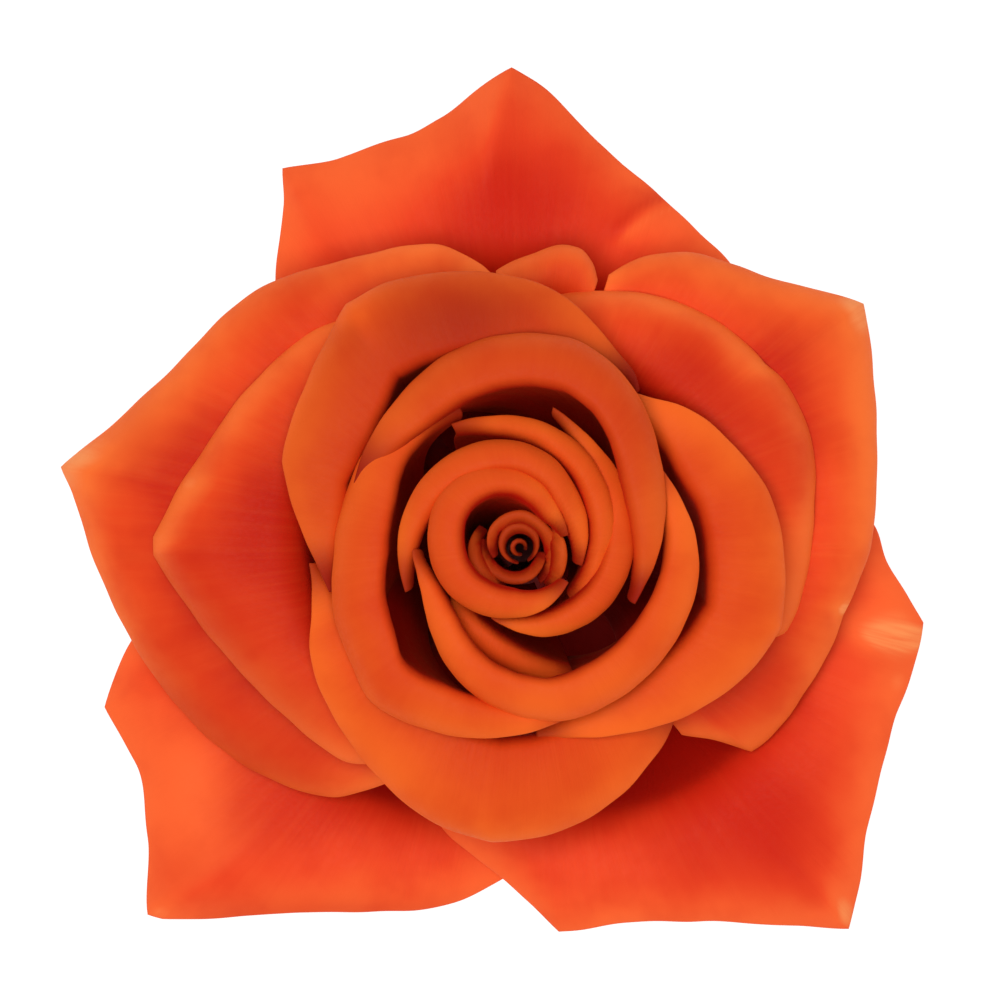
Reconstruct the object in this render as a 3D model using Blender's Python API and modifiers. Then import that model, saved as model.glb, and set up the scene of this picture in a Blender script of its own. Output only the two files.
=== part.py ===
# A cut rose in full bloom, face up: a cupped heart of spiralling petals in wider and wider rings,
# the green hip that carries them with its short cut stalk, and five sepals bent down round it.
# Metres, +Z up. The origin is the centre of the stalk's flat cut, on the axis of the spiral.
import math

import bmesh
import bpy
from mathutils import Vector

MM = 0.001

BLADE = 0.62 * MM               # thickness of a petal
GAP = 0.3 * MM                  # clearance between a petal's foot and the hip

STALK_RADIUS = 2.5 * MM
HIP_RADIUS = 7.7 * MM
HIP_TOP = 17.0 * MM             # height of the innermost petal feet
HIP_STEPS = 24                  # flats round the hip

# Petal feet stand in rings on the domed top of the hip, ring 0 at its centre.
FIRST_RING = 0.95 * MM
RING_STEP = 1.0 * MM
RING_CROWDING = 0.027 * MM
DOME_FALL = 0.065 * MM
OUTER_RING = 8
FOOT_SPANS = (200, 80, 80, 66, 62, 52, 50, 44, 50)     # width of a foot on each ring, in degrees

# The body of a petal on each ring: the share of the way out that its lower part takes, then the
# width and height of its shoulder in mm, and the slant of the wall below the shoulder in degrees.
BODIES = ((0.60, 0.4, 0.6, 0), (0.70, 0.5, 0.8, 0), (0.76, 0.6, 1.0, 0), (0.85, 0.7, 1.2, 0),
          (0.90, 0.7, 1.2, 0), (0.90, 1.0, 1.6, 0), (0.90, 1.8, 2.2, 5), (0.80, 4.5, 4.0, 20),
          (0.75, 6.5, 4.5, 30))
WALL_END = 0.8                  # where up the body the shoulder starts
NECK = 0.2                     # share of the height over which the wall stands straight
CLIMB_UPRIGHT = 0.34            # share of the height that the lower body climbs at the axis
CLIMB_LOSS = 0.22               # less on petals that lie open, in full from OPEN_CREST on
OPEN_CREST = 45 * MM
RIM_SHOULDER = 0.3 * MM         # the shoulder of the upright rims of the innermost petals
RIM_NECK = 3.0 * MM
FULL_WIDTH = 0.95               # how far up its body a petal has its full width
END_STOP = 0.39                 # share of its length that a rolled petal stops short at its two ends
END_POWER = 3                   # how suddenly it does so

# Rows of a petal from its foot (0) to its edge (1). The crest of a rolled petal lies at one half.
ROWS = (0.0, 0.14, 0.28, 0.40, 0.50, 0.66, 0.83, 1.0)
COLUMN_STEP = 4.4 * MM
WIDEST_COLUMN = 18              # degrees

SEPAL_COUNT = 5
SEPAL_THICKNESS = 0.8 * MM
FIRST_SEPAL = 18                # bearing in degrees
# A sepal from its root to its tip: distance from the axis, height and half width in mm.
SEPAL_ROUTE = ((8.25, 11.2, 1.9), (10.85, 11.5, 2.9), (13.75, 10.7, 3.7), (16.55, 8.7, 4.2),
               (19.15, 6.1, 4.4), (21.75, 3.6, 4.3), (24.55, 1.5, 4.0), (27.55, 0.45, 3.4),
               (30.75, 0.45, 2.6), (33.95, 1.2, 1.5), (36.95, 2.4, 0.35))
SEPAL_SIDES = (-1.0, -0.5, 0.0, 0.5, 1.0)
SEPAL_CUP = 0.22                # lift of a sepal's sides over its midline, in half widths
SEPAL_TIP_CUP = 0.10            # and past where it meets the surface
SEPAL_LANDING = 24.35           # distance from the axis, in mm

RED_ORANGE = (0.80, 0.10, 0.02)
YELLOW_ORANGE = (0.80, 0.17, 0.03)
HIP_GREEN = (0.16, 0.24, 0.06)
SEPAL_GREEN = (0.10, 0.20, 0.05)

# One row for each petal, from the outside in.
# ring: where its foot stands, foot: bearing of the foot in degrees, turn: how far its edge rolls
# over in degrees, fall: how far it falls by then, in lips, stop: how far short the petal stops at
# its two ends, heights: of the crest at the start, middle and end in mm,
# crest: radius of the crest there in mm, or lip: distance from the crest out to the edge in mm,
# outline: bearing in degrees and reach in mm of the edge as seen from above.
PETALS = (
    dict(name="petal_guard_back", ring=8, foot=91, turn=55, fall=0.35, stop=0,
         heights=(27, 30, 27), crest=(33, 38.5, 33.5),
         outline=((38, 35.0), (44, 39.5), (53, 42.7), (61, 44.0), (69, 46.0), (79, 49.9),
                  (88, 56.2), (91, 58.0), (95, 55.8), (100.5, 52.9), (106, 51.7), (115, 52.0),
                  (122, 54.2), (124.5, 50.4), (132, 44.2), (138, 39.5), (142, 35.5))),
    dict(name="petal_guard_left", ring=8, foot=230, turn=55, fall=0.35, stop=0,
         heights=(26, 29, 26), crest=(34, 41, 33.5),
         outline=((184, 36.0), (187, 41.0), (193, 47.9), (201, 53.7), (209, 53.3), (218, 57.0),
                  (224.6, 63.1), (226, 62.3), (234, 55.0), (239, 51.3), (248, 47.4), (257, 44.6),
                  (266, 40.6), (276, 35.5))),
    dict(name="petal_guard_right", ring=8, foot=311, turn=55, fall=0.35, stop=0,
         heights=(30, 32, 28), crest=(29.5, 41.5, 35.0),
         outline=((249, 31.5), (254, 35.0), (264.7, 38.8), (271.6, 42.9), (275.8, 46.7),
                  (284, 46.8), (295.6, 50.0), (306.4, 56.6), (310.8, 60.8), (315, 58.0),
                  (321, 53.9), (329, 51.1), (337, 49.7), (349.5, 49.6), (352.4, 47.6),
                  (358, 44.4), (364, 42.7), (371, 37.5))),
    dict(name="petal_outer_left", ring=8, foot=165, turn=75, fall=0.55, stop=0,
         heights=(40, 37, 34), crest=(31.5, 38.5, 31),
         outline=((95, 32.5), (98, 34.6), (106, 38.1), (116, 39.6), (125, 41.6), (138, 44.8),
                  (151, 46.7), (163, 51.3), (170, 56.2), (173, 54.2), (181, 51.6), (193, 48.2),
                  (208, 44.9), (221.5, 41.5), (233, 37.6), (237, 35.0), (241, 32.0))),
    dict(name="petal_outer_right", ring=8, foot=18, turn=80, fall=0.55, stop=0,
         heights=(35, 38, 38), crest=(27.5, 38.5, 33.0),
         outline=((-49, 29.8), (-44.7, 32.8), (-41.2, 37.2), (-36, 37.9), (-22, 38.9),
                  (-11.6, 39.9), (0, 42.2), (8, 43.3), (17, 44.9), (25.5, 47.2), (33, 49.9),
                  (35.4, 50.8), (40, 48.0), (46, 44.8), (53, 42.8), (58.6, 41.4), (66, 38.6),
                  (69.7, 36.4), (72, 34.6))),
    dict(name="petal_outer_top", ring=7, foot=80, turn=90, fall=1.0, stop=0,
         heights=(38, 39, 38), lip=(1.5, 3.0, 1.5),
         outline=((74, 33.4), (76, 35.4), (79, 36.8), (81, 36.9), (88, 35.4), (95, 33.5))),
    dict(name="petal_second_left", ring=7, foot=181, turn=80, fall=0.6, stop=0,
         heights=(40, 43, 40), crest=(31, 32.8, 28.2),
         outline=((120, 32.9), (126, 34.5), (134, 36.5), (146, 37.4), (154.5, 38.6), (163, 40.0),
                  (174, 42.7), (178.3, 44.2), (181, 44.2), (187, 41.7), (193.5, 39.5),
                  (204, 36.8), (217, 34.6), (230, 33.4), (239, 29.8))),
    dict(name="petal_second_right", ring=7, foot=33, turn=85, fall=0.7, stop=0,
         heights=(40, 44, 40), crest=(29, 31.5, 27.8),
         outline=((-21, 31.0), (-17, 33.7), (-3, 34.8), (8, 35.8), (19, 37.1), (31.7, 37.8),
                  (37, 36.9), (48.5, 36.2), (57, 35.2), (65, 33.9), (73, 32.4), (80, 31.3),
                  (86, 29.3))),
    dict(name="petal_third_top", ring=6, foot=125, turn=85, fall=0.5, stop=END_STOP,
         heights=(46, 50, 47), lip=(2.0, 9.0, 2.5),
         outline=((53, 26.0), (57, 27.6), (66, 29.3), (74, 30.9), (84, 32.6), (98, 33.9),
                  (108, 34.8), (118, 35.8), (125.5, 36.1), (134, 34.0), (144, 32.5), (160, 31.3),
                  (167, 29.9), (184, 27.4), (193, 26.2))),
    dict(name="petal_third_right", ring=6, foot=350, turn=85, fall=0.5, stop=END_STOP,
         heights=(46, 49, 47), lip=(1.4, 7.5, 2.5),
         outline=((275, 24.5), (283, 25.3), (291.6, 26.2), (304.5, 27.6), (317.7, 29.3),
                  (328.5, 31.0), (343, 32.7), (357.5, 31.9), (373, 30.8), (385, 29.3),
                  (399.5, 28.0), (408, 26.6), (411, 26.2))),
    dict(name="petal_third_bottom", ring=6, foot=244, turn=85, fall=0.5, stop=END_STOP,
         heights=(45, 48, 42), lip=(2.0, 8.0, 4.0),
         outline=((184, 28.0), (197, 28.9), (206.5, 30.0), (226, 31.1), (237.5, 32.3),
                  (252, 34.6), (264.5, 35.5), (274, 34.9), (282, 34.0), (292, 32.5),
                  (300.5, 30.9), (308, 29.6))),
    dict(name="petal_fourth_left", ring=5, foot=180, turn=105, fall=0.95, stop=END_STOP,
         heights=(51, 54, 50), lip=(1.2, 3.2, 1.0),
         outline=((122, 18.7), (143, 19.8), (162, 21.0), (179, 22.1), (198, 23.6), (213, 24.4),
                  (226, 25.7), (244, 24.4), (270, 23.3), (293, 22.6))),
    dict(name="petal_fourth_top", ring=5, foot=48, turn=105, fall=0.95, stop=END_STOP,
         heights=(52, 55, 50), lip=(0.8, 3.2, 0.9),
         outline=((-26, 16.6), (3, 17.7), (23, 19.0), (34, 20.2), (51, 22.9), (64, 24.8),
                  (77, 25.9), (93, 25.7), (110, 25.0), (129, 23.7), (146, 23.4), (160, 23.2))),
    dict(name="petal_fourth_bottom", ring=5, foot=240, turn=105, fall=0.95, stop=END_STOP,
         heights=(53, 55, 50), lip=(1.0, 3.0, 1.2),
         outline=((180, 14.0), (194, 13.8), (207, 14.0), (221, 14.8), (240, 17.0), (259, 19.2),
                  (272, 20.4), (290, 21.5), (324, 21.7), (361, 22.0), (380, 21.6), (396, 21.6))),
    dict(name="petal_heart_09", ring=4, foot=262, turn=100, fall=1.0, stop=END_STOP,
         heights=(49, 51, 49), lip=(0.7, 1.2, 0.9),
         outline=((222, 11.2), (234, 11.6), (250, 12.8), (270, 14.3), (286, 15.4))),
    dict(name="petal_heart_08", ring=4, foot=15, turn=100, fall=1.0, stop=END_STOP,
         heights=(53, 54.5, 52), lip=(0.9, 1.1, 0.9),
         outline=((-113, 10.5), (-90, 10.9), (-70, 11.5), (-45, 12.3), (-20, 13.2), (9, 14.1),
                  (30, 15.0), (47, 15.9), (63, 16.4))),
    dict(name="petal_heart_07", ring=4, foot=95, turn=100, fall=1.0, stop=END_STOP,
         heights=(51, 54.5, 51.5), lip=(0.8, 1.1, 1.0),
         outline=((-45, 9.8), (-28, 10.3), (0, 11.2), (31, 12.2), (58, 13.9), (81, 15.0),
                  (100, 15.9), (120, 16.8))),
    dict(name="petal_heart_06", ring=3, foot=92, turn=100, fall=1.0, stop=END_STOP,
         heights=(52, 55.5, 52), lip=(0.8, 1.1, 1.0),
         outline=((-16, 8.9), (10, 9.0), (44, 9.9), (75, 12.0), (100, 13.4), (132, 14.3),
                  (162, 15.2), (185, 16.2), (201, 17.2))),
    dict(name="petal_heart_05", ring=3, foot=178, turn=110, fall=1.0, stop=END_STOP,
         heights=(53, 57, 55), lip=(0.8, 2.0, 0.8),
         outline=((15, 7.3), (43, 7.5), (74, 8.9), (100, 10.6), (120, 11.4), (145, 11.8),
                  (178, 11.1), (208, 10.4), (237, 9.4), (270, 8.7), (300, 8.7), (325, 8.6))),
    dict(name="petal_heart_04", ring=3, foot=-10, turn=0, fall=0, stop=END_STOP,
         heights=(49, 52.5, 50.5), lip=(0, 0, 0),
         outline=((-55, 6.7), (-20, 6.1), (10, 5.7), (35, 5.4))),
    dict(name="petal_heart_03", ring=2, foot=200, turn=0, fall=0, stop=END_STOP,
         heights=(48, 51.5, 48.5), lip=(0, 0, 0),
         outline=((150, 6.3), (178, 6.5), (215, 6.2), (248, 5.6))),
    dict(name="petal_heart_02", ring=2, foot=20, turn=0, fall=0, stop=END_STOP,
         heights=(48, 51.5, 49.5), lip=(0, 0, 0),
         outline=((-60, 5.6), (-25, 4.9), (10, 4.7), (50, 4.5), (90, 4.8), (135, 4.8), (180, 4.4),
                  (200, 4.1))),
    dict(name="petal_heart_01", ring=1, foot=285, turn=0, fall=0, stop=END_STOP,
         heights=(48, 50.5, 48), lip=(0, 0, 0),
         outline=((165, 5.4), (200, 5.1), (240, 4.8), (280, 4.4), (320, 3.9), (350, 3.7))),
    dict(name="petal_bud_outer", ring=1, foot=100, turn=0, fall=0, stop=END_STOP,
         heights=(46.5, 50, 47.5), lip=(0, 0, 0),
         outline=((-60, 2.4), (0, 2.6), (60, 3.2), (110, 3.4), (150, 3.1), (210, 2.6), (265, 2.4))),
    dict(name="petal_bud_inner", ring=0, foot=135, turn=0, fall=0, stop=END_STOP,
         heights=(45.5, 49, 46.5), lip=(0, 0, 0),
         outline=((-20, 1.2), (60, 1.4), (140, 1.5), (220, 1.4), (290, 1.3))),
)


def clear_scene():
    for item in list(bpy.data.objects):
        bpy.data.objects.remove(item, do_unlink=True)


def make_collection(name):
    collection = bpy.data.collections.new(name)
    bpy.context.scene.collection.children.link(collection)
    return collection


def make_material(name, colour, roughness):
    material = bpy.data.materials.new(name)
    material.use_nodes = True
    shader = material.node_tree.nodes["Principled BSDF"]
    shader.inputs["Base Color"].default_value = (*colour, 1.0)
    shader.inputs["Roughness"].default_value = roughness
    shader.inputs["Metallic"].default_value = 0.0
    return material


def place_object(name, mesh, collection, material):
    item = bpy.data.objects.new(name, mesh)
    collection.objects.link(item)
    mesh.materials.append(material)
    mesh.shade_smooth()
    return item


def blend(values, share):
    """A quadratic through three values at the start, middle and end."""
    start, middle, end = values
    return (start * (1 - share) * (1 - 2 * share) + middle * 4 * share * (1 - share)
            + end * share * (2 * share - 1))


def steepness(keys):
    """The slope at each key of a curve that never overshoots its keys."""
    slopes = [(b[1] - a[1]) / (b[0] - a[0]) for a, b in zip(keys, keys[1:])]
    inner = [2 * p * q / (p + q) if p * q > 0 else 0.0 for p, q in zip(slopes, slopes[1:])]
    return [slopes[0]] + inner + [slopes[-1]]


def outline_columns(keys):
    """Bearings and reaches along a petal's outline, with a column on every key."""
    slopes = steepness(keys)
    columns = []
    for (b0, r0), (b1, r1), s0, s1 in zip(keys, keys[1:], slopes, slopes[1:]):
        width = b1 - b0
        length = math.hypot(math.radians(width) * 0.5 * (r0 + r1), r1 - r0) * MM
        count = max(1, round(length / COLUMN_STEP), math.ceil(width / WIDEST_COLUMN))
        for i in range(count):
            t = i / count
            reach = ((2 * t ** 3 - 3 * t ** 2 + 1) * r0 + (t ** 3 - 2 * t ** 2 + t) * width * s0
                     + (3 * t ** 2 - 2 * t ** 3) * r1 + (t ** 3 - t ** 2) * width * s1)
            columns.append((b0 + width * t, reach))
    columns.append(keys[-1])
    return columns


def foot_place(ring):
    """Radius and height of a petal's foot on the domed top of the hip."""
    radius = FIRST_RING + RING_STEP * ring - RING_CROWDING * ring ** 2
    height = HIP_TOP - DOME_FALL * ring ** 2
    return radius, height


def bezier(points, t):
    a, b, c, d = points
    s = 1 - t
    return a * s ** 3 + 3 * b * s ** 2 * t + 3 * c * s * t ** 2 + d * t ** 3


class Meridian:
    """The line up the middle of a petal's thickness at one bearing: a wall that rises from the
    foot, a shoulder that turns it out at the crest, and a lip that rolls out and down."""

    def __init__(self, ring, crest, height, lip, fall, turn):
        foot_r, foot_z = foot_place(ring)
        lean, inset, rise, slant = BODIES[ring]
        self.crest = crest
        self.height = height
        climb = CLIMB_UPRIGHT - CLIMB_LOSS * min(1.0, crest / OPEN_CREST)
        low_r = foot_r + lean * (crest - foot_r)
        low_z = foot_z + climb * (height - foot_z)
        self.upright = lip == 0
        if self.upright:
            self.r = (foot_r, low_r, crest - RIM_SHOULDER, crest)
            self.z = (foot_z, low_z, height - RIM_NECK, height)
            return
        self.inset = min(inset * MM, crest - foot_r)
        self.rise = rise * MM
        self.slant = math.radians(slant)
        top_r = crest - self.inset * math.cos(self.slant)
        top_z = height - self.rise * (1 - math.sin(self.slant))
        out = self.inset * math.sin(self.slant)
        up = self.rise * math.cos(self.slant)
        neck = NECK * (height - foot_z) / math.hypot(out, up)
        self.r = (foot_r, low_r, top_r - neck * out, top_r)
        self.z = (foot_z, low_z, top_z - neck * up, top_z)
        self.turn = math.radians(turn)
        quarter = min(self.turn, 0.5 * math.pi)
        self.lip = lip / math.sin(quarter)
        self.drop = fall * lip / (1 - math.cos(quarter))

    def point(self, m):
        if self.upright:
            return bezier(self.r, m), bezier(self.z, m)
        if m <= WALL_END:
            return bezier(self.r, m / WALL_END), bezier(self.z, m / WALL_END)
        if m <= 1:
            share = (m - WALL_END) / (1 - WALL_END)
            angle = self.slant + share * (0.5 * math.pi - self.slant)
            return (self.crest - self.inset * math.cos(angle),
                    self.height - self.rise * (1 - math.sin(angle)))
        angle = (m - 1) * self.turn
        return (self.crest + self.lip * math.sin(angle),
                self.height - self.drop * (1 - math.cos(angle)))


def petal_points(petal):
    """The mid-surface of a petal as columns of points, from one side edge to the other."""
    keys = petal["outline"]
    foot_span = FOOT_SPANS[petal["ring"]]
    columns = []
    for bearing, reach in outline_columns(keys):
        share = (bearing - keys[0][0]) / (keys[-1][0] - keys[0][0])
        reach = reach * MM - 0.5 * BLADE
        if "lip" in petal:
            lip = blend(petal["lip"], share) * MM
        else:
            lip = reach - blend(petal["crest"], share) * MM
        height = blend(petal["heights"], share) * MM
        meridian = Meridian(petal["ring"], reach - lip, height, lip, petal["fall"], petal["turn"])
        length = 1.0 if meridian.upright else 2.0
        length *= 1 - petal["stop"] * abs(2 * share - 1) ** END_POWER
        column = []
        for row in ROWS:
            m = length * row
            radius, z = meridian.point(m)
            spread = min(1.0, m / FULL_WIDTH)
            spread = spread * spread * (3 - 2 * spread)
            foot_bearing = petal["foot"] + (share - 0.5) * foot_span
            angle = math.radians(foot_bearing + (bearing - foot_bearing) * spread)
            column.append(Vector((radius * math.cos(angle), radius * math.sin(angle), z)))
        columns.append(column)
    return columns


def build_blade(name, columns, thickness, collection, material):
    """A thin closed blade round the surface that runs through columns of points."""
    grid = bmesh.new()
    verts = [[grid.verts.new(point) for point in column] for column in columns]
    for left, right in zip(verts, verts[1:]):
        for i in range(len(left) - 1):
            grid.faces.new((left[i], left[i + 1], right[i + 1], right[i]))
    bmesh.ops.triangulate(grid, faces=grid.faces[:])
    mesh = bpy.data.meshes.new(name)
    grid.to_mesh(mesh)
    grid.free()
    item = place_object(name, mesh, collection, material)
    shell = item.modifiers.new("blade", "SOLIDIFY")
    shell.thickness = thickness
    shell.offset = 0.0


def build_petal(petal, collection):
    """A petal, redder on the outer rings and yellower towards the heart."""
    share = petal["ring"] / OUTER_RING
    colour = [a + (b - a) * share for a, b in zip(YELLOW_ORANGE, RED_ORANGE)]
    material = make_material(petal["name"], colour, 0.55)
    build_blade(petal["name"], petal_points(petal), BLADE, collection, material)


def build_hip(collection):
    """The urn-shaped hip with its cut stalk, turned round the axis."""
    profile = [(0.0, 0.0), (STALK_RADIUS, 0.0), (STALK_RADIUS, 3.6 * MM), (3.3 * MM, 5.2 * MM),
               (5.3 * MM, 7.2 * MM), (6.9 * MM, 9.4 * MM), (HIP_RADIUS, 11.8 * MM),
               (7.6 * MM, 12.2 * MM)]
    for ring in range(OUTER_RING, -1, -1):
        radius, height = foot_place(ring)
        profile.append((radius, height - GAP - 0.5 * BLADE))
    profile.append((0.0, HIP_TOP - GAP - 0.5 * BLADE))
    mesh = bpy.data.meshes.new("hip")
    shape = bmesh.new()
    verts = [shape.verts.new((radius, 0.0, height)) for radius, height in profile]
    for a, b in zip(verts, verts[1:]):
        shape.edges.new((a, b))
    bmesh.ops.spin(shape, geom=shape.verts[:] + shape.edges[:], cent=(0, 0, 0), axis=(0, 0, 1),
                   angle=2 * math.pi, steps=HIP_STEPS, use_merge=True)
    bmesh.ops.remove_doubles(shape, verts=shape.verts[:], dist=0.001 * MM)
    bmesh.ops.recalc_face_normals(shape, faces=shape.faces[:])
    shape.to_mesh(mesh)
    shape.free()
    place_object("hip", mesh, collection, make_material("hip", HIP_GREEN, 0.55))


def build_sepal(index, collection):
    """A lance-shaped sepal that leaves the hip's shoulder and bends down to the surface."""
    name = f"sepal_{index + 1}"
    bearing = math.radians(FIRST_SEPAL + 360 * index / SEPAL_COUNT)
    outward = Vector((math.cos(bearing), math.sin(bearing), 0.0))
    across = Vector((-math.sin(bearing), math.cos(bearing), 0.0))
    columns = []
    for distance, height, half in SEPAL_ROUTE:
        cup = SEPAL_CUP if distance < SEPAL_LANDING else SEPAL_TIP_CUP
        column = []
        for side in SEPAL_SIDES:
            lift = Vector((0.0, 0.0, height + cup * half * side * side))
            column.append((outward * distance + across * side * half + lift) * MM)
        columns.append(column)
    build_blade(name, columns, SEPAL_THICKNESS, collection, make_material(name, SEPAL_GREEN, 0.6))


def main():
    clear_scene()
    rose = make_collection("rose")
    build_hip(rose)
    for index in range(SEPAL_COUNT):
        build_sepal(index, rose)
    for petal in PETALS:
        build_petal(petal, rose)


main()
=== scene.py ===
# A full orange rose bloom, face up on a pale floor: petals with veins, waved margins and rolled rims,
# the green hip with its cut stalk, and five downy sepals.
import math
from typing import NamedTuple

import bmesh
import bpy
import numpy as np
from bpy.props import FloatProperty, FloatVectorProperty, IntProperty, PointerProperty
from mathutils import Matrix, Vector


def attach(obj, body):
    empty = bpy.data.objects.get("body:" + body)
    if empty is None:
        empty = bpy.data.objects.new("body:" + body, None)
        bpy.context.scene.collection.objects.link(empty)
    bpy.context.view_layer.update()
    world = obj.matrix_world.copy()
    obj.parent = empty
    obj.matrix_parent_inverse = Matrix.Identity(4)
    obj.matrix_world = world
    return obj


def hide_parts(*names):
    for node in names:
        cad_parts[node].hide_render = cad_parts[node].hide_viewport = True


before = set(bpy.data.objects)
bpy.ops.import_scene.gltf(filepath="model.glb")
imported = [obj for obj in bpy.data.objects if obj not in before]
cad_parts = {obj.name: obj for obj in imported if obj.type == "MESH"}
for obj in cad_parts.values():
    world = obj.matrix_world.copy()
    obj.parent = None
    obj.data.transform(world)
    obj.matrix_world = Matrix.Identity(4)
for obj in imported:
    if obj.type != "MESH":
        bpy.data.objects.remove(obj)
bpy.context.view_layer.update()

bl_info = {
    "name": "Rose Bloom",
    "version": (1, 0, 0),
    "blender": (4, 5, 0),
    "location": "3D View > Sidebar > Rose",
    "description": "Models a cut rose bloom with its petals, hip and sepals",
    "category": "Add Mesh",
}

MM = 0.001
BODY = "root"

# Petal feet stand in rings on the domed top of the hip, ring 0 at its centre.
HIP_TOP = 17.0 * MM
FIRST_RING = 0.95 * MM
RING_STEP = 1.0 * MM
RING_CROWDING = 0.027 * MM
DOME_FALL = 0.065 * MM
OUTER_RING = 8
FOOT_SPANS = (200, 80, 80, 66, 62, 52, 50, 44, 50)

# The body of a petal on each ring: the share of the way out that its lower part takes, then the
# width and height of its shoulder in mm, and the slant of the wall below the shoulder in degrees.
BODIES = ((0.50, 0.6, 2.0, 0), (0.60, 0.9, 2.6, 0), (0.65, 1.0, 3.0, 0), (0.80, 1.2, 3.0, 0),
          (0.85, 1.1, 2.6, 0), (0.90, 1.2, 2.2, 0), (0.90, 1.8, 2.2, 5), (0.80, 4.5, 4.0, 20),
          (0.75, 6.5, 4.5, 30))
WALL_END = 0.8                  # level where the wall ends and the shoulder begins
NECK = 0.2                      # length of the wall's upper handle, as a share of its height
CLIMB_UPRIGHT = 0.34            # height of its lower handle, also as a share,
CLIMB_LOSS = 0.22               # and what that loses by the time the crest
OPEN_CREST = 45 * MM            # stands this far out
LEAST_INSET = 0.1 * MM          # least width of the shoulder
FULL_WIDTH = 0.95               # level from which a petal has its full width
END_POWER = 2                   # how suddenly a petal's ends are cut short
RAGGED = 0.06 * MM              # how far an edge strays from its smooth outline
RAGGED_PACE = 0.31              # and its waves, in radians for a degree of bearing
FOLDED_REACH = 0.31 * MM        # half the solid blade, kept off the reach so that the rims agree
CUPPED_RING = 6                 # petals on the rings up to this one darken towards their ends with painted shade, where they tuck under their neighbours,
END_SHADE = 0.7                  # by this much,
END_SHADE_FROM = 0.72            # from here on, with 0 at the middle and 1 at an end
RIPPLE_LEVELS = (0.75, 1.35)    # where the margin's ripples start and are at their full height

# Mesh lines: the extra ones beside a border, in line spacings, the fewest rows of a petal, the
# turn in radians that takes one more row, and the points that measure a petal's length.
BORDER_LINES = np.array([0.15, 0.45])
LEAST_ROWS = 14
ROW_BEND = 0.3
MEASURING_POINTS = 1200


class Petal(NamedTuple):
    """A petal's form. Bearings are in degrees and sizes in mm, and values in threes are for the
    start, middle and end of its outline. A level runs from 0 at the foot over 1 at the crest to 2
    at the edge."""
    node: str
    ring: int
    foot: float                 # bearing
    turn: float                 # how far the lip rolls over, in degrees
    fall: float                 # how far the lip comes down, in its own widths
    heights: tuple              # of the crest
    outline: tuple              # bearing and reach of the edge's points
    crest: tuple = ()           # how far out the crest stands, or else
    lip: tuple = ()             # how wide the lip beyond it is
    stop: tuple = (0.5, 0.5)    # how far short of the edge the two ends stop
    tips: tuple = ()            # bearings where the edge has a point
    waves: tuple = (0.0, 1.0)   # height and number of the margin's ripples
    tone: float = 0.0           # the whole petal paler (+) or deeper (-), partly its deeper red and partly painted shade
    # Ridges: bearing at the edge and at the crest, first and last level, half width in degrees,
    # rise, and the painted light (+) or painted shade (-) on the petal before and after the ridge.
    folds: tuple = ()
    # Painted light (+) or painted shade (-) in places, along with some real pale marks: bearing,
    # level, half width in degrees, half height in levels and strength.
    shading_and_mark_spots: tuple = ()


GUARD_PETALS = (
    Petal("petal_guard_back", ring=8, foot=91, turn=55, fall=0.35, heights=(27, 30, 27),
          crest=(33, 38.5, 33.5), stop=(0, 0), tips=(91, 122), waves=(0.5, 3.5),
          folds=((91, 97, 0.9, 1.7, 5, 2.4, -0.35, 0.25),
                 (66.7, 73.5, 0.9, 1.3, 1.8, 0.9, 0.9, -0.8)),
          shading_and_mark_spots=((110, 1.8, 16, 0.6, 0.4), (82, 1.5, 7, 0.8, -0.3), (93, 1.15, 13, 0.35, -0.7)),
          outline=((38, 35.0), (44, 39.5), (53, 42.7), (61, 44.0), (69, 46.0), (79, 49.9),
                   (88, 56.2), (91, 58.0), (95, 55.8), (100.5, 52.9), (106, 51.7), (115, 52.0),
                   (122, 54.2), (124.5, 50.4), (132, 44.2), (138, 39.5), (142, 35.5))),
    Petal("petal_guard_left", ring=8, foot=230, turn=55, fall=0.35, heights=(26, 29, 26),
          crest=(34, 41, 33.5), stop=(0, 0), tips=(201, 224.6, 226), waves=(0.5, 3.0),
          folds=((225.5, 228, 1.0, 1.8, 5, 1.5, 0.2, -0.15),),
          shading_and_mark_spots=((210, 1.7, 12, 0.5, 0.3), (226, 1.95, 2, 0.12, 0.8),
                 (241, 1.95, 14, 0.25, -0.45), (218, 1.45, 9, 0.3, 0.35)),
          outline=((184, 36.0), (187, 41.0), (193, 47.9), (201, 53.7), (209, 53.3), (218, 57.0),
                   (224.6, 63.1), (226, 62.3), (234, 55.0), (239, 51.3), (248, 47.4), (257, 44.6),
                   (266, 40.6), (276, 35.5))),
    Petal("petal_guard_right", ring=8, foot=311, turn=55, fall=0.35, heights=(30, 32, 28),
          crest=(29.5, 41.5, 35.0), stop=(0, 0), tips=(275.8, 310.8, 349.5), waves=(0.5, 3.2),
          folds=((310.8, 312, 1.05, 1.85, 2.5, 1.2, -0.3, 0.5),
                 (348.5, 346, 1.0, 1.6, 2.0, 0.8, 0.8, -0.2)),
          shading_and_mark_spots=((347, 1.5, 3.5, 0.5, 0.85), (340, 1.8, 3.0, 0.3, 0.6),
                 (311, 1.9, 2.5, 0.15, 0.7), (311, 1.15, 15, 0.45, -0.8),
                 (352, 1.8, 6, 0.5, 0.45)),
          outline=((249, 31.5), (254, 35.0), (264.7, 38.8), (271.6, 42.9), (275.8, 46.7),
                   (284, 46.8), (295.6, 50.0), (306.4, 56.6), (310.8, 60.8), (315, 58.0),
                   (321, 53.9), (329, 51.1), (337, 49.7), (349.5, 49.6), (352.4, 47.6),
                   (358, 44.4), (364, 42.7), (371, 37.5))),
)
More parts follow.
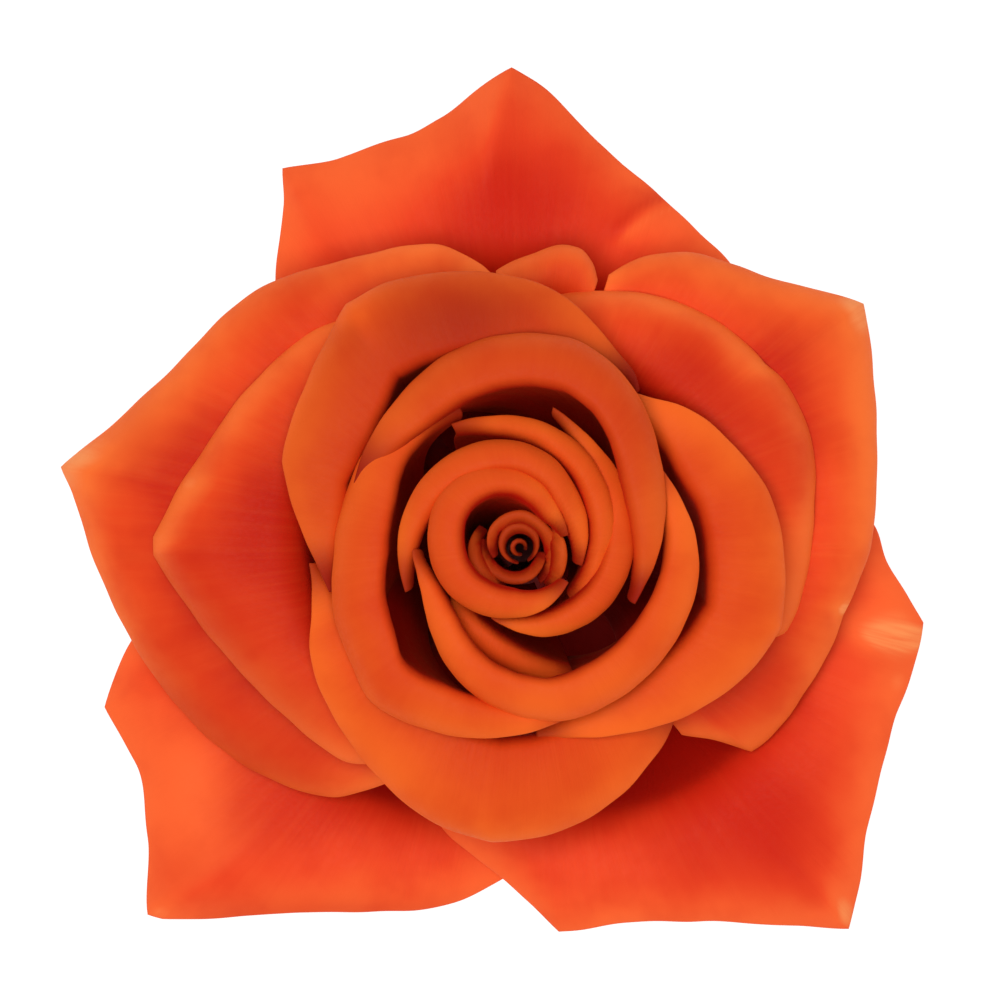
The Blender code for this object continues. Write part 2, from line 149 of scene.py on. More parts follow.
OUTER_PETALS = (
    Petal("petal_outer_left", ring=8, foot=165, turn=75, fall=0.55, heights=(40, 37, 34),
          crest=(31.0, 37, 30.5), stop=(0, 0), tips=(170,), waves=(0.3, 2.5),
          folds=((170, 168, 1.1, 1.8, 8, 1.3, 0.1, -0.1),),
          shading_and_mark_spots=((170, 1.95, 4, 0.3, 0.9), (158, 1.85, 10, 0.35, 0.55), (128, 1.6, 12, 0.6, -0.3),
                 (218, 1.7, 16, 0.8, -0.7), (192, 1.3, 10, 0.3, -0.3), (202, 1.9, 10, 0.4, -0.4)),
          outline=((95, 32.5), (98, 34.6), (106, 38.1), (116, 39.6), (125, 41.6), (138, 44.8),
                   (151, 46.7), (163, 51.3), (170, 56.2), (173, 54.2), (181, 51.6), (193, 48.2),
                   (208, 44.9), (221.5, 41.5), (233, 37.6), (237, 35.0), (241, 32.0))),
    Petal("petal_outer_right", ring=8, foot=18, turn=80, fall=0.55, heights=(35, 38, 38),
          crest=(27.5, 36.5, 33.0), stop=(0, 0), tips=(-41.2, -11.6, 35.4), waves=(0.3, 2.5),
          folds=((35.4, 36, 1.1, 1.8, 6, 1.0, 0.2, 0.0),
                 (-11.6, -12, 1.1, 1.9, 2.5, -0.8, -0.5, 0.3)),
          shading_and_mark_spots=((35.4, 1.9, 3, 0.2, 0.8), (-11, 1.85, 2.5, 0.25, 0.9), (-32, 1.3, 14, 0.6, -0.5),
                 (18, 1.8, 18, 0.35, 0.5), (50, 1.8, 12, 0.4, 0.4)),
          outline=((-49, 29.8), (-44.7, 32.8), (-41.2, 37.2), (-36, 37.9), (-22, 38.9),
                   (-11.6, 39.9), (0, 42.2), (8, 43.3), (17, 44.9), (25.5, 47.2), (33, 49.9),
                   (35.4, 50.8), (40, 48.0), (46, 44.8), (53, 42.8), (58.6, 41.4), (66, 38.6),
                   (69.7, 36.4), (72, 34.6))),
    Petal("petal_outer_top", ring=7, foot=80, turn=90, fall=1.0, heights=(38, 39, 38),
          lip=(1.5, 3.0, 1.5), stop=(0, 0), waves=(0.0, 1.0), tone=-0.15,
          outline=((74, 33.4), (76, 35.4), (79, 36.8), (81, 36.9), (88, 35.4), (95, 33.5))),
    Petal("petal_second_left", ring=7, foot=181, turn=80, fall=0.6, heights=(40, 43, 40),
          crest=(30, 30, 27), stop=(0, 0), tips=(178.3, 181), waves=(0.3, 2.5),
          folds=((180, 180, 1.0, 1.7, 9, 1.5, 0.3, -0.4),),
          shading_and_mark_spots=((169, 1.8, 3, 0.25, 0.6), (194, 1.6, 13, 0.6, -0.55), (179, 1.9, 3, 0.2, 0.4),
                 (215, 1.6, 14, 0.8, -0.5), (172, 1.15, 16, 0.3, -0.6)),
          outline=((120, 32.9), (126, 34.5), (134, 36.5), (146, 37.4), (154.5, 38.6), (163, 40.0),
                   (174, 42.7), (178.3, 44.2), (181, 44.2), (187, 41.7), (193.5, 39.5),
                   (204, 36.8), (217, 34.6), (230, 33.4), (239, 29.8))),
    Petal("petal_second_right", ring=7, foot=33, turn=85, fall=0.7, heights=(40, 44, 40),
          crest=(27.5, 28.5, 26), stop=(0, 0), tips=(37,), waves=(0.25, 2.5),
          folds=((37, 37, 1.1, 1.8, 3, 0.8, -0.25, 0.1),),
          shading_and_mark_spots=((36.5, 1.9, 2.5, 0.25, 0.8), (20, 1.5, 10, 0.5, -0.35), (60, 1.9, 14, 0.3, 0.3),
                 (41, 1.15, 15, 0.3, -0.7)),
          outline=((-21, 31.0), (-17, 33.7), (-3, 34.8), (8, 35.8), (19, 37.1), (31.7, 37.8),
                   (37, 36.9), (48.5, 36.2), (57, 35.2), (65, 33.9), (73, 32.4), (80, 31.3),
                   (86, 29.3))),
)
RING_PETALS = (
    Petal("petal_third_top", ring=6, foot=125, turn=85, fall=0.5, heights=(46, 50, 47),
          lip=(2.0, 9.0, 2.5), tips=(125.5, 160), waves=(0.2, 3), tone=-0.3,
          folds=((125.5, 127, 1.0, 1.7, 6, 0.7, 0.2, -0.1),),
          shading_and_mark_spots=((125.5, 1.9, 3.5, 0.25, 0.6), (104, 1.2, 20, 0.5, -0.35),
                 (150, 1.95, 12, 0.2, 0.25)),
          outline=((53, 26.0), (57, 27.6), (66, 29.3), (74, 30.9), (84, 32.6), (98, 33.9),
                   (108, 34.8), (118, 35.8), (125.5, 36.1), (134, 34.0), (144, 32.5), (160, 31.3),
                   (167, 29.9), (184, 27.4), (193, 26.2))),
    Petal("petal_third_right", ring=6, foot=350, turn=85, fall=0.5, heights=(46, 49, 47),
          lip=(1.4, 7.5, 2.5), tips=(343,), waves=(0.2, 3),
          folds=((342, 341, 1.3, 1.9, 2, 0.5, -0.2, 0.2),),
          shading_and_mark_spots=((342, 1.9, 2, 0.2, 0.5), (320, 1.6, 15, 0.5, 0.25)),
          outline=((275, 24.5), (283, 25.3), (291.6, 26.2), (304.5, 27.6), (317.7, 29.3),
                   (328.5, 31.0), (343, 32.7), (357.5, 31.9), (373, 30.8), (385, 29.3),
                   (399.5, 28.0), (408, 26.6), (411, 26.2), (422, 24.8))),
    Petal("petal_third_bottom", ring=6, foot=244, turn=85, fall=0.5, heights=(45, 48, 42),
          lip=(2.5, 10.5, 6.0), stop=(0.5, 0.15), tips=(264.5,), waves=(0.2, 3),
          folds=((264.5, 262, 1.2, 1.9, 4, 0.6, 0.1, -0.1),),
          shading_and_mark_spots=((264.5, 1.95, 2.5, 0.2, 0.6), (240, 1.6, 16, 0.5, 0.3)),
          outline=((184, 28.0), (197, 28.9), (206.5, 30.0), (226, 31.1), (237.5, 32.3),
                   (252, 34.6), (264.5, 35.5), (274, 34.9), (282, 34.0), (292, 32.5),
                   (300.5, 30.9), (308, 29.6), (316, 27.6))),
    Petal("petal_fourth_left", ring=5, foot=180, turn=105, fall=0.95, heights=(48, 54, 50),
          lip=(2.2, 5.2, 1.4), stop=(0.45, 0.5), waves=(0.15, 3), tone=-0.12,
          outline=((113, 20.6), (125, 21.8), (143, 22.4), (162, 22.0), (179, 22.3), (198, 23.6),
                   (213, 24.4), (226, 25.7), (244, 24.4), (270, 23.3), (293, 22.6))),
    Petal("petal_fourth_top", ring=5, foot=48, turn=105, fall=0.95, heights=(52, 55, 50),
          lip=(1.0, 4.8, 2.6), stop=(0.5, 0.4), waves=(0.15, 3), tone=-0.3,
          outline=((-26, 16.6), (3, 17.7), (23, 19.0), (34, 20.2), (51, 22.9), (64, 24.8),
                   (77, 25.9), (93, 25.7), (110, 25.0), (129, 23.7), (146, 23.4), (160, 23.2))),
    Petal("petal_fourth_bottom", ring=5, foot=240, turn=105, fall=0.95, heights=(53, 55, 50),
          lip=(0.7, 4.0, 2.2), waves=(0.15, 3), shading_and_mark_spots=((285, 1.3, 30, 0.4, 0.35),),
          outline=((180, 14.0), (194, 13.8), (207, 14.0), (221, 14.8), (240, 17.0), (259, 19.2),
                   (272, 20.4), (290, 21.5), (324, 21.7), (361, 22.0), (380, 21.6), (396, 21.6))),
)
HEART_PETALS = (
    Petal("petal_heart_09", ring=4, foot=262, turn=100, fall=1.0, heights=(49, 51, 46),
          lip=(1.0, 2.2, 2.0), stop=(0.5, 0.4), waves=(0.1, 2),
          outline=((212, 11.2), (226, 12.0), (240, 12.9), (262, 14.6), (279, 16.5), (287, 17.6),
                   (293, 18.6))),
    Petal("petal_heart_08", ring=4, foot=15, turn=100, fall=1.0, heights=(53, 54.5, 50),
          lip=(1.2, 2.4, 2.2), waves=(0.12, 3),
          outline=((-113, 10.5), (-90, 10.9), (-70, 11.5), (-45, 12.3), (-20, 13.2), (9, 14.1),
                   (30, 15.0), (47, 15.9), (60, 17.2), (72, 19.0), (77, 19.8))),
    Petal("petal_heart_07", ring=4, foot=95, turn=100, fall=1.0, heights=(51, 54.5, 48),
          lip=(0.9, 1.9, 1.8), stop=(0.5, 0.45), waves=(0.12, 3),
          outline=((-45, 9.8), (-28, 10.3), (0, 11.2), (31, 12.6), (58, 14.3), (81, 15.7),
                   (100, 16.9), (119, 18.8))),
    Petal("petal_heart_06", ring=3, foot=92, turn=100, fall=1.0, heights=(52, 55.5, 52),
          lip=(0.9, 2.6, 2.2), waves=(0.12, 3), tone=-0.1,
          outline=((-16, 8.9), (10, 9.0), (44, 9.9), (75, 12.0), (100, 13.4), (132, 14.3),
                   (162, 15.2), (185, 16.2), (201, 17.2))),
    Petal("petal_heart_05", ring=3, foot=178, turn=110, fall=1.0, heights=(53, 57, 55),
          lip=(1.0, 2.9, 1.2), waves=(0.12, 3), tone=-0.1,
          outline=((15, 7.3), (43, 7.5), (74, 8.9), (100, 10.6), (120, 11.4), (145, 11.8),
                   (178, 11.1), (208, 10.4), (237, 9.4), (270, 8.7), (300, 8.7), (325, 8.6))),
    Petal("petal_heart_04", ring=3, foot=-10, turn=85, fall=0.8, heights=(49, 52.5, 50.5),
          lip=(0.4, 0.55, 0.4), waves=(0.1, 2), tone=-0.45,
          outline=((-55, 6.7), (-20, 6.1), (10, 5.7), (35, 5.4))),
    Petal("petal_heart_03", ring=2, foot=200, turn=85, fall=0.8, heights=(48, 51.5, 48.5),
          lip=(0.4, 0.55, 0.4), waves=(0.1, 2), tone=-0.5,
          outline=((150, 6.3), (178, 6.5), (215, 6.2), (248, 5.6))),
    Petal("petal_heart_02", ring=2, foot=20, turn=85, fall=0.8, heights=(48, 51.5, 49.5),
          lip=(0.35, 0.5, 0.35), waves=(0.1, 2), tone=-0.5,
          outline=((-60, 5.6), (-25, 4.9), (10, 4.7), (50, 4.5), (90, 4.8), (135, 4.8),
                   (180, 4.4), (200, 4.1))),
    Petal("petal_heart_01", ring=1, foot=285, turn=85, fall=0.8, heights=(48, 50.5, 48),
          lip=(0.3, 0.45, 0.3), waves=(0.1, 2), tone=-0.6,
          outline=((165, 5.4), (200, 5.1), (240, 4.8), (280, 4.4), (320, 3.9), (350, 3.7))),
    Petal("petal_bud_outer", ring=1, foot=100, turn=80, fall=0.8, heights=(46.5, 50, 47.5),
          lip=(0.3, 0.4, 0.3), waves=(0.05, 2), tone=-0.65,
          outline=((-60, 2.4), (0, 2.6), (60, 3.2), (110, 3.4), (150, 3.1), (210, 2.6),
                   (265, 2.4))),
    Petal("petal_bud_inner", ring=0, foot=135, turn=80, fall=0.8, heights=(45.5, 49, 46.5),
          lip=(0.2, 0.28, 0.2), waves=(0.05, 2), tone=-0.7,
          outline=((-20, 1.2), (60, 1.4), (140, 1.5), (220, 1.4), (290, 1.3))),
)

# The hip with its cut stalk, turned round the axis: radius and height in mm. The domed top that
# carries the petals follows their feet.
HIP_PROFILE = ((2.5, 0.0), (2.5, 3.6), (3.3, 5.2), (5.3, 7.2), (6.9, 9.4), (7.7, 11.8),
               (7.6, 12.2))
HIP_CLEARANCE = 0.61 * MM       # from the middle of a petal's foot down to the dome
HIP_LOBES = 5
HIP_SPAN = (4 * MM, 8 * MM, 11 * MM, 12 * MM)      # where the lobes start, are full, fade and end
STALK_CUT = (1.2, 2.38)         # rings of the stalk's cut face, in mm
STALK_LEVELS = (0.0, 0.15, 0.8, 1.6, 2.4, 3.1)
STALK_RIDGES = 9
STALK_RIDGE = 0.05 * MM
HIP_SIDES = 120

SEPAL_COUNT = 5
FIRST_SEPAL = 18                # bearing in degrees
# A sepal from its root to its tip: distance from the axis, height and half width in mm.
SEPAL_ROUTE = ((8.25, 11.2, 1.9), (10.85, 11.5, 2.9), (13.75, 10.7, 3.7), (16.55, 8.7, 4.2),
               (19.15, 6.1, 4.4), (21.75, 3.6, 4.3), (24.55, 1.5, 4.0), (27.55, 0.45, 3.4),
               (30.75, 0.45, 2.6), (33.95, 1.2, 1.5), (36.95, 2.4, 0.35))
SEPAL_CUP = 0.22                # lift of a sepal's sides over its midline, in half widths
SEPAL_TIP_CUP = 0.10            # and past where it meets the surface
SEPAL_LANDING = 24.35           # distance from the axis, in mm
SEPAL_COLUMNS = 31
SEPAL_TOOTH_WAVE = 44           # of the teeth along each side, in radians
SEPAL_WRINKLE = 0.35 * MM
SEPAL_WRINKLE_SIZE = 5 * MM
BARE_BELOW = 1.2 * MM           # the down stops here, above the surface that the sepals touch

# In each group of petals, how wide the bright margin is, how deep the colour gets further in,
# partly painted shade by a neighbour's rim, and how far below the crest the deep red, partly
# painted shade in the crevices, is reached.
ZONES = {"guard": (7.0 * MM, 0.65, 5 * MM), "outer": (6.0 * MM, 0.8, 4.5 * MM),
         "ring": (5 * MM, 0.4, 2.6 * MM), "heart": (2.2 * MM, 0.2, 1.8 * MM)}

# The stage: the middle of the view, how far the floor reaches and lies below the bloom, and the
# places and the size of the lights, in metres.
VIEW_MIDDLE = (-2.4 * MM, 5.76 * MM)
VIEW_LEVEL = 30 * MM
FLOOR_REACH = 12.0
FLOOR_GAP = 0.05 * MM
OVERHEAD_PLACE = (-0.18, -0.05, 1.3)
SIDE_PLACE = (1.0, 0.1, 0.8)
LIGHT_SIZE = 0.8


def length_setting(name, description, metres):
    return FloatProperty(name=name, description=description, default=metres, unit="LENGTH")


def power_setting(name, description, watts):
    return FloatProperty(name=name, description=description, default=watts, unit="POWER")


def pigment_setting(name, colour, description="Colour in linear light"):
    return FloatVectorProperty(name=name, description=description, subtype="COLOR", size=3,
                               default=colour)


class RosePetalSettings(bpy.types.PropertyGroup):
    """Sizes and colours of the petals."""
    blade: length_setting("Blade", "Thickness of a petal", 0.36 * MM)
    rim: length_setting("Rim", "Width of the rounded rim", 0.28 * MM)
    spacing: length_setting("Spacing", "Distance between mesh lines", 0.75 * MM)
    vein_height: length_setting("Vein Height", "Height of the raised veins", 0.008 * MM)
    vein_spacing: length_setting("Vein Spacing", "Distance between main veins", 2.4 * MM)
    wrinkle_height: length_setting("Wrinkle Height", "Depth of the soft wrinkles", 0.5 * MM)
    wrinkle_size: length_setting("Wrinkle Size", "Width of the soft wrinkles", 9.0 * MM)
    seed: IntProperty(name="Seed", description="Draw of wrinkles and mottling", default=7)
    # The deep colours are partly each group's deeper red and partly painted shade, in the crevices
    # below the crest and next to a neighbour's rim.
    guard_margin: pigment_setting("Guard Margin", (0.96, 0.130, 0.028))
    guard_body: pigment_setting("Guard Body", (0.84, 0.060, 0.014))
    guard_deep: pigment_setting("Guard Deep", (0.56, 0.009, 0.002))
    outer_margin: pigment_setting("Outer Margin", (0.96, 0.168, 0.028))
    outer_body: pigment_setting("Outer Body", (0.80, 0.062, 0.010))
    outer_deep: pigment_setting("Outer Deep", (0.50, 0.008, 0.002))
    ring_margin: pigment_setting("Ring Margin", (0.87, 0.130, 0.014))
    ring_body: pigment_setting("Ring Body", (0.73, 0.075, 0.008))
    ring_deep: pigment_setting("Ring Deep", (0.55, 0.006, 0.002))
    heart_margin: pigment_setting("Heart Margin", (0.80, 0.130, 0.012))
    heart_body: pigment_setting("Heart Body", (0.72, 0.078, 0.008))
    heart_deep: pigment_setting("Heart Deep", (0.55, 0.005, 0.002))
    # Painted shade: the dark red that the negative shading values of the ring and heart petals turn
    # to, partly their deeper red.
    shade_and_deep_red: pigment_setting("Dusk", (0.30, 0.012, 0.003))
    # Painted shade: the near black at the foot of a petal's upper face.
    gloom: pigment_setting("Gloom", (0.06, 0.001, 0.001))
    # Real pale marks and painted highlights, where the shading values are strongest.
    pale: pigment_setting("Pale", (0.98, 0.30, 0.09))
    claw: pigment_setting("Claw", (0.80, 0.45, 0.06))
    under: pigment_setting("Under", (0.88, 0.15, 0.035))


class RoseGreenSettings(bpy.types.PropertyGroup):
    """Sizes and colours of the hip and the sepals."""
    sepal_blade: length_setting("Sepal Blade", "Thickness of a sepal", 0.6 * MM)
    sepal_rim: length_setting("Sepal Rim", "Width of a sepal's rounded rim", 0.3 * MM)
    sepal_spacing: length_setting("Sepal Spacing", "Distance between mesh lines", 0.35 * MM)
    tooth: length_setting("Tooth", "Depth of the teeth along a sepal's margin", 0.35 * MM)
    midrib: length_setting("Midrib", "Height of a sepal's midrib", 0.32 * MM)
    down_length: length_setting("Down Length", "Length of the sepals' down", 0.55 * MM)
    down_density: FloatProperty(name="Down Density", description="Hairs on a square metre",
                                default=1.6e6, min=0)
    lobe: length_setting("Lobe", "Swell of the hip's five lobes", 0.16 * MM)
    hip: pigment_setting("Hip", (0.13, 0.22, 0.045), "Colour of the hip")
    stalk: pigment_setting("Stalk", (0.10, 0.19, 0.045), "Colour of the stalk")
    pith: pigment_setting("Pith", (0.62, 0.66, 0.38), "Colour of the cut stalk's pith")
    # Painted shade: the dome under the petals is dark red like the shade deep in the bloom.
    socket: pigment_setting("Socket", (0.30, 0.006, 0.004), "Colour of the dome under the petals")
    sepal: pigment_setting("Sepal", (0.085, 0.19, 0.035), "Colour of a sepal's outer face")
    sepal_vein: pigment_setting("Sepal Vein", (0.22, 0.34, 0.10), "Colour of a sepal's veins")
    sepal_edge: pigment_setting("Sepal Edge", (0.24, 0.13, 0.05), "Colour of a sepal's margin")


class RoseStageSettings(bpy.types.PropertyGroup):
    """Floor, light and camera."""
    view_width: length_setting("View Width", "Width that the camera takes in", 0.12)
    camera_height: length_setting("Camera Height", "Height of the camera", 3.0)
    key_power: power_setting("Key Power", "Power of the main light", 11.5)
    fill_power: power_setting("Fill Power", "Power of the light at the side", 1.5)
    sky: FloatProperty(name="Sky", description="Strength of the even light", default=0.42, min=0)
    floor: pigment_setting("Floor", (0.16, 0.16, 0.16), "Colour of the floor")
    glow: FloatProperty(name="Floor Glow", description="Light that the floor gives off itself",
                        default=0.95, min=0)


class NodeGraph:
    """A node tree that is filled by adding nodes and feeding their sockets."""

    def __init__(self, tree):
        self.tree = tree
        self.count = 0

    def add(self, kind, inputs=None, **settings):
        node = self.tree.nodes.new(kind)
        node.location = (190 * (self.count // 3), -230 * (self.count % 3))
        self.count += 1
        for key, value in settings.items():
            setattr(node, key, value)
        for key, value in (inputs or {}).items():
            self.feed(node.inputs[key], value)
        return node

    def feed(self, socket, value):
        if isinstance(value, bpy.types.NodeSocket):
            self.tree.links.new(value, socket)
        else:
            socket.default_value = value

    def math(self, operation, *values, clamp=False):
        node = self.add("ShaderNodeMath", operation=operation, use_clamp=clamp)
        for socket, value in zip(node.inputs, values):
            self.feed(socket, value)
        return node.outputs["Value"]

    def times(self, first, second):
        return self.math("MULTIPLY", first, second)

    def remap(self, value, low, high, to_low=0.0, to_high=1.0, smooth=True):
        node = self.add("ShaderNodeMapRange", {"Value": value, "From Min": low, "From Max": high,
                                               "To Min": to_low, "To Max": to_high},
                        interpolation_type="SMOOTHSTEP" if smooth else "LINEAR")
        return node.outputs["Result"]

    def mix(self, share, first, second):
        """Mixes two colours, each of them a socket or three numbers."""
        node = self.add("ShaderNodeMix", data_type="RGBA")
        self.feed(node.inputs[0], share)
        for index, colour in ((6, first), (7, second)):
            plain = not isinstance(colour, bpy.types.NodeSocket)
            self.feed(node.inputs[index], (*colour, 1) if plain else colour)
        return node.outputs[2]

    def noise(self, vector, scale, detail=2.0, roughness=0.5):
        node = self.add("ShaderNodeTexNoise", {"Vector": vector, "Scale": scale, "Detail": detail,
                                               "Roughness": roughness})
        return node.outputs[0]

    def attribute(self, name):
        return self.add("ShaderNodeAttribute", attribute_name=name).outputs["Fac"]

    def named(self, name):
        node = self.add("GeometryNodeInputNamedAttribute", {"Name": name}, data_type="FLOAT")
        return node.outputs["Attribute"]

    def scaled(self, vector, factor):
        node = self.add("ShaderNodeVectorMath", {0: vector, "Scale": factor}, operation="SCALE")
        return node.outputs["Vector"]

    def moved(self, geometry, offset):
        node = self.add("GeometryNodeSetPosition", {"Geometry": geometry, "Offset": offset})
        return node.outputs[0]

    def joined(self, *parts):
        node = self.add("GeometryNodeJoinGeometry")
        for part in parts:
            self.feed(node.inputs[0], part)
        return node.outputs[0]


def foot_of(ring):
    """Distance from the axis and height of the petals' feet on a ring."""
    radius = FIRST_RING + RING_STEP * ring - RING_CROWDING * ring ** 2
    return radius, HIP_TOP - DOME_FALL * ring ** 2


def blend(values, share):
    """A quadratic through three values at the start, middle and end."""
    start, middle, end = values
    return (start * (1 - share) * (1 - 2 * share) + middle * 4 * share * (1 - share)
            + end * share * (2 * share - 1))


def smooth(value, low, high):
    """A smooth step from 0 to 1 between low and high."""
    t = np.clip((value - low) / (high - low), 0.0, 1.0)
    return t * t * (3 - 2 * t)


def bezier(points, t):
    a, b, c, d = points
    s = 1 - t
    return a * s ** 3 + 3 * b * s ** 2 * t + 3 * c * s * t ** 2 + d * t ** 3


def outline_columns(petal, spacing):
    """Bearings and reaches along a petal's edge, smooth between its points, sharp at its tips."""
    keys = petal.outline
    slopes = [(b[1] - a[1]) / (b[0] - a[0]) for a, b in zip(keys, keys[1:])]
    arrive = [slopes[0]]
    leave = [slopes[0]]
    for key, before, after in zip(keys[1:-1], slopes, slopes[1:]):
        if key[0] in petal.tips:
            arrive.append(before)
            leave.append(after)
        else:
            even = 2 * before * after / (before + after) if before * after > 0 else 0.0
            arrive.append(even)
            leave.append(even)
    arrive.append(slopes[-1])
    bearings = []
    reaches = []
    for (b0, r0), (b1, r1), s0, s1 in zip(keys, keys[1:], leave, arrive[1:]):
        width = b1 - b0
        length = math.hypot(math.radians(width) * 0.5 * (r0 + r1), r1 - r0) * MM
        t = np.arange(math.ceil(length / spacing)) / math.ceil(length / spacing)
        bearings.append(b0 + width * t)
        reaches.append((2 * t ** 3 - 3 * t ** 2 + 1) * r0 + (t ** 3 - 2 * t ** 2 + t) * width * s0
                       + (3 * t ** 2 - 2 * t ** 3) * r1 + (t ** 3 - t ** 2) * width * s1)
    bearings = np.append(np.concatenate(bearings), keys[-1][0])
    reaches = np.append(np.concatenate(reaches), keys[-1][1])
    steps = np.arange(len(bearings))
    fine = np.concatenate([[0], BORDER_LINES, steps[1:-1], steps[-1] - BORDER_LINES[::-1],
                           steps[-1:]])
    return np.interp(fine, steps, bearings), np.interp(fine, steps, reaches)


class Meridian:
    """The line up the middle of a petal's thickness at each bearing: a wall that rises from the
    foot, a shoulder that turns it out at the crest, and a lip that rolls out and down."""

    def __init__(self, petal, crest, height, lip):
        foot_r, foot_z = foot_of(petal.ring)
        lean, inset, rise, slant = BODIES[petal.ring]
        self.crest = crest
        self.height = height
        climb = CLIMB_UPRIGHT - CLIMB_LOSS * np.minimum(1.0, crest / OPEN_CREST)
        low_r = foot_r + lean * (crest - foot_r)
        low_z = foot_z + climb * (height - foot_z)
        self.inset = np.clip(crest - foot_r, LEAST_INSET, inset * MM)
        self.rise = rise * MM
        self.slant = math.radians(slant)
        top_r = crest - self.inset * math.cos(self.slant)
        top_z = height - self.rise * (1 - math.sin(self.slant))
        out = self.inset * math.sin(self.slant)
        up = self.rise * math.cos(self.slant)
        neck = NECK * (height - foot_z) / np.hypot(out, up)
        self.r = (foot_r, low_r, top_r - neck * out, top_r)
        self.z = (foot_z, low_z, top_z - neck * up, top_z)
        self.turn = math.radians(petal.turn)
        quarter = min(self.turn, 0.5 * math.pi)
        self.lip = lip / math.sin(quarter)
        self.drop = petal.fall * lip / (1 - math.cos(quarter))

    def point(self, m):
        wall = np.minimum(m / WALL_END, 1.0)
        share = np.clip((m - WALL_END) / (1 - WALL_END), 0.0, 1.0)
        bow = self.slant + share * (0.5 * math.pi - self.slant)
        roll = np.maximum(m - 1.0, 0.0) * self.turn
        radius = np.where(m <= WALL_END, bezier(self.r, wall),
                          self.crest - self.inset * np.cos(bow) + self.lip * np.sin(roll))
        z = np.where(m <= WALL_END, bezier(self.z, wall),
                     self.height - self.rise * (1 - np.sin(bow)) - self.drop * (1 - np.cos(roll)))
        return radius, z


def petal_rows(meridian, column, spacing):
    """Row numbers from the foot (0) to the edge (1), evenly along the petal and closer in bends."""
    m = np.linspace(0.0, 2.0, MEASURING_POINTS)[:, None]
    radius, z = meridian.point(m)
    step_r = np.diff(radius[:, column])
    step_z = np.diff(z[:, column])
    heading = np.unwrap(np.arctan2(step_z, step_r))
    length = np.hypot(step_r, step_z)
    bend = np.abs(np.diff(heading, prepend=heading[0]))
    travel = np.concatenate([[0.0], np.cumsum(length / spacing + bend / ROW_BEND)])
    count = max(LEAST_ROWS, math.ceil(travel[-1]))
    even = np.linspace(0.0, travel[-1], count)
    rows = np.interp(even, travel, m[:, 0]) / 2
    near_foot = BORDER_LINES * rows[1]
    near_edge = 1 - BORDER_LINES * (rows[-1] - rows[-2])
    return np.sort(np.concatenate([rows, near_foot, near_edge]))[:, None]


def petal_surface(petal, spacing):
    """The mid-surface of a petal: points in rows and columns, and the values its finish reads.
    m is the level of each point."""
    keys = petal.outline
    bearing, reach = outline_columns(petal, spacing)
    share = (bearing - keys[0][0]) / (keys[-1][0] - keys[0][0])
    phase = math.radians(petal.foot * 3.7)
    size = petal.ring / OUTER_RING
    uneven = (np.sin(RAGGED_PACE * size * bearing + phase)
              + 0.6 * np.sin(0.83 * size * bearing + 2 * phase))
    reach = reach * MM - FOLDED_REACH + RAGGED * size * uneven
    lip = blend(petal.lip, share) * MM if petal.lip else reach - blend(petal.crest, share) * MM
    height = blend(petal.heights, share) * MM
    meridian = Meridian(petal, reach - lip, height, lip)
    rows = petal_rows(meridian, int(np.argmax(lip)), spacing)
    stop = np.where(share < 0.5, *petal.stop)
    m = rows * 2 * (1 - stop * np.abs(2 * share - 1) ** END_POWER)
    radius, z = meridian.point(m)
    sunk = np.where(m < 1, height - z, 0.0)
    # The shading values start from the petal's tone, which is partly painted shade.
    shading_and_marks = np.full_like(m, petal.tone)
    # Painted shade towards the ends of cupped petals, where they tuck under their neighbours.
    if petal.ring <= CUPPED_RING:
        shading_and_marks = shading_and_marks - END_SHADE * smooth(np.abs(2 * share - 1), END_SHADE_FROM, 1.0)
    for edge_at, crest_at, low, high, half_width, rise, before, after in petal.folds:
        off = bearing - crest_at - (edge_at - crest_at) * np.clip(m - 1, 0, 1)
        near = np.exp((1 - np.hypot(1, off)) / half_width) * smooth(m, low, high)
        z = z + rise * MM * near
        # Painted light on one side of the ridge and painted shade on the other.
        shading_and_marks += near * (before + (after - before) * smooth(off, -1.5, 1.5))
    wave_height, wave_number = petal.waves
    ripple = (np.sin(2 * math.pi * wave_number * share + phase)
              + 0.5 * np.sin(2 * math.pi * 2.3 * wave_number * share + 2.1 * phase))
    z = z + wave_height * MM * ripple * smooth(m, *RIPPLE_LEVELS)
    # Painted light and shade in places, with some real pale marks.
    for at, level, half_width, half_height, strength in petal.shading_and_mark_spots:
        away = ((bearing - at) / half_width) ** 2 + ((m - level) / half_height) ** 2
        shading_and_marks += strength * np.exp(-away)
    spread = smooth(m, 0.0, FULL_WIDTH)
    foot_bearing = petal.foot + (share - 0.5) * FOOT_SPANS[petal.ring]
    angle = np.radians(foot_bearing + (bearing - foot_bearing) * spread)
    points = np.stack([radius * np.cos(angle), radius * np.sin(angle), z], axis=-1)
    return points, {"across": np.broadcast_to(share, m.shape), "sunk": sunk, "shading_and_marks": shading_and_marks}


def along_lines(points, axis):
    """Distance of each point from the start of its line of points."""
    steps = np.linalg.norm(np.diff(points, axis=axis), axis=-1)
    pad = [(0, 0), (0, 0)]
    pad[axis] = (1, 0)
    return np.pad(np.cumsum(steps, axis=axis), pad)


def add_object(name, data):
    item = bpy.data.objects.new(name, data)
    bpy.context.scene.collection.objects.link(item)
    return item


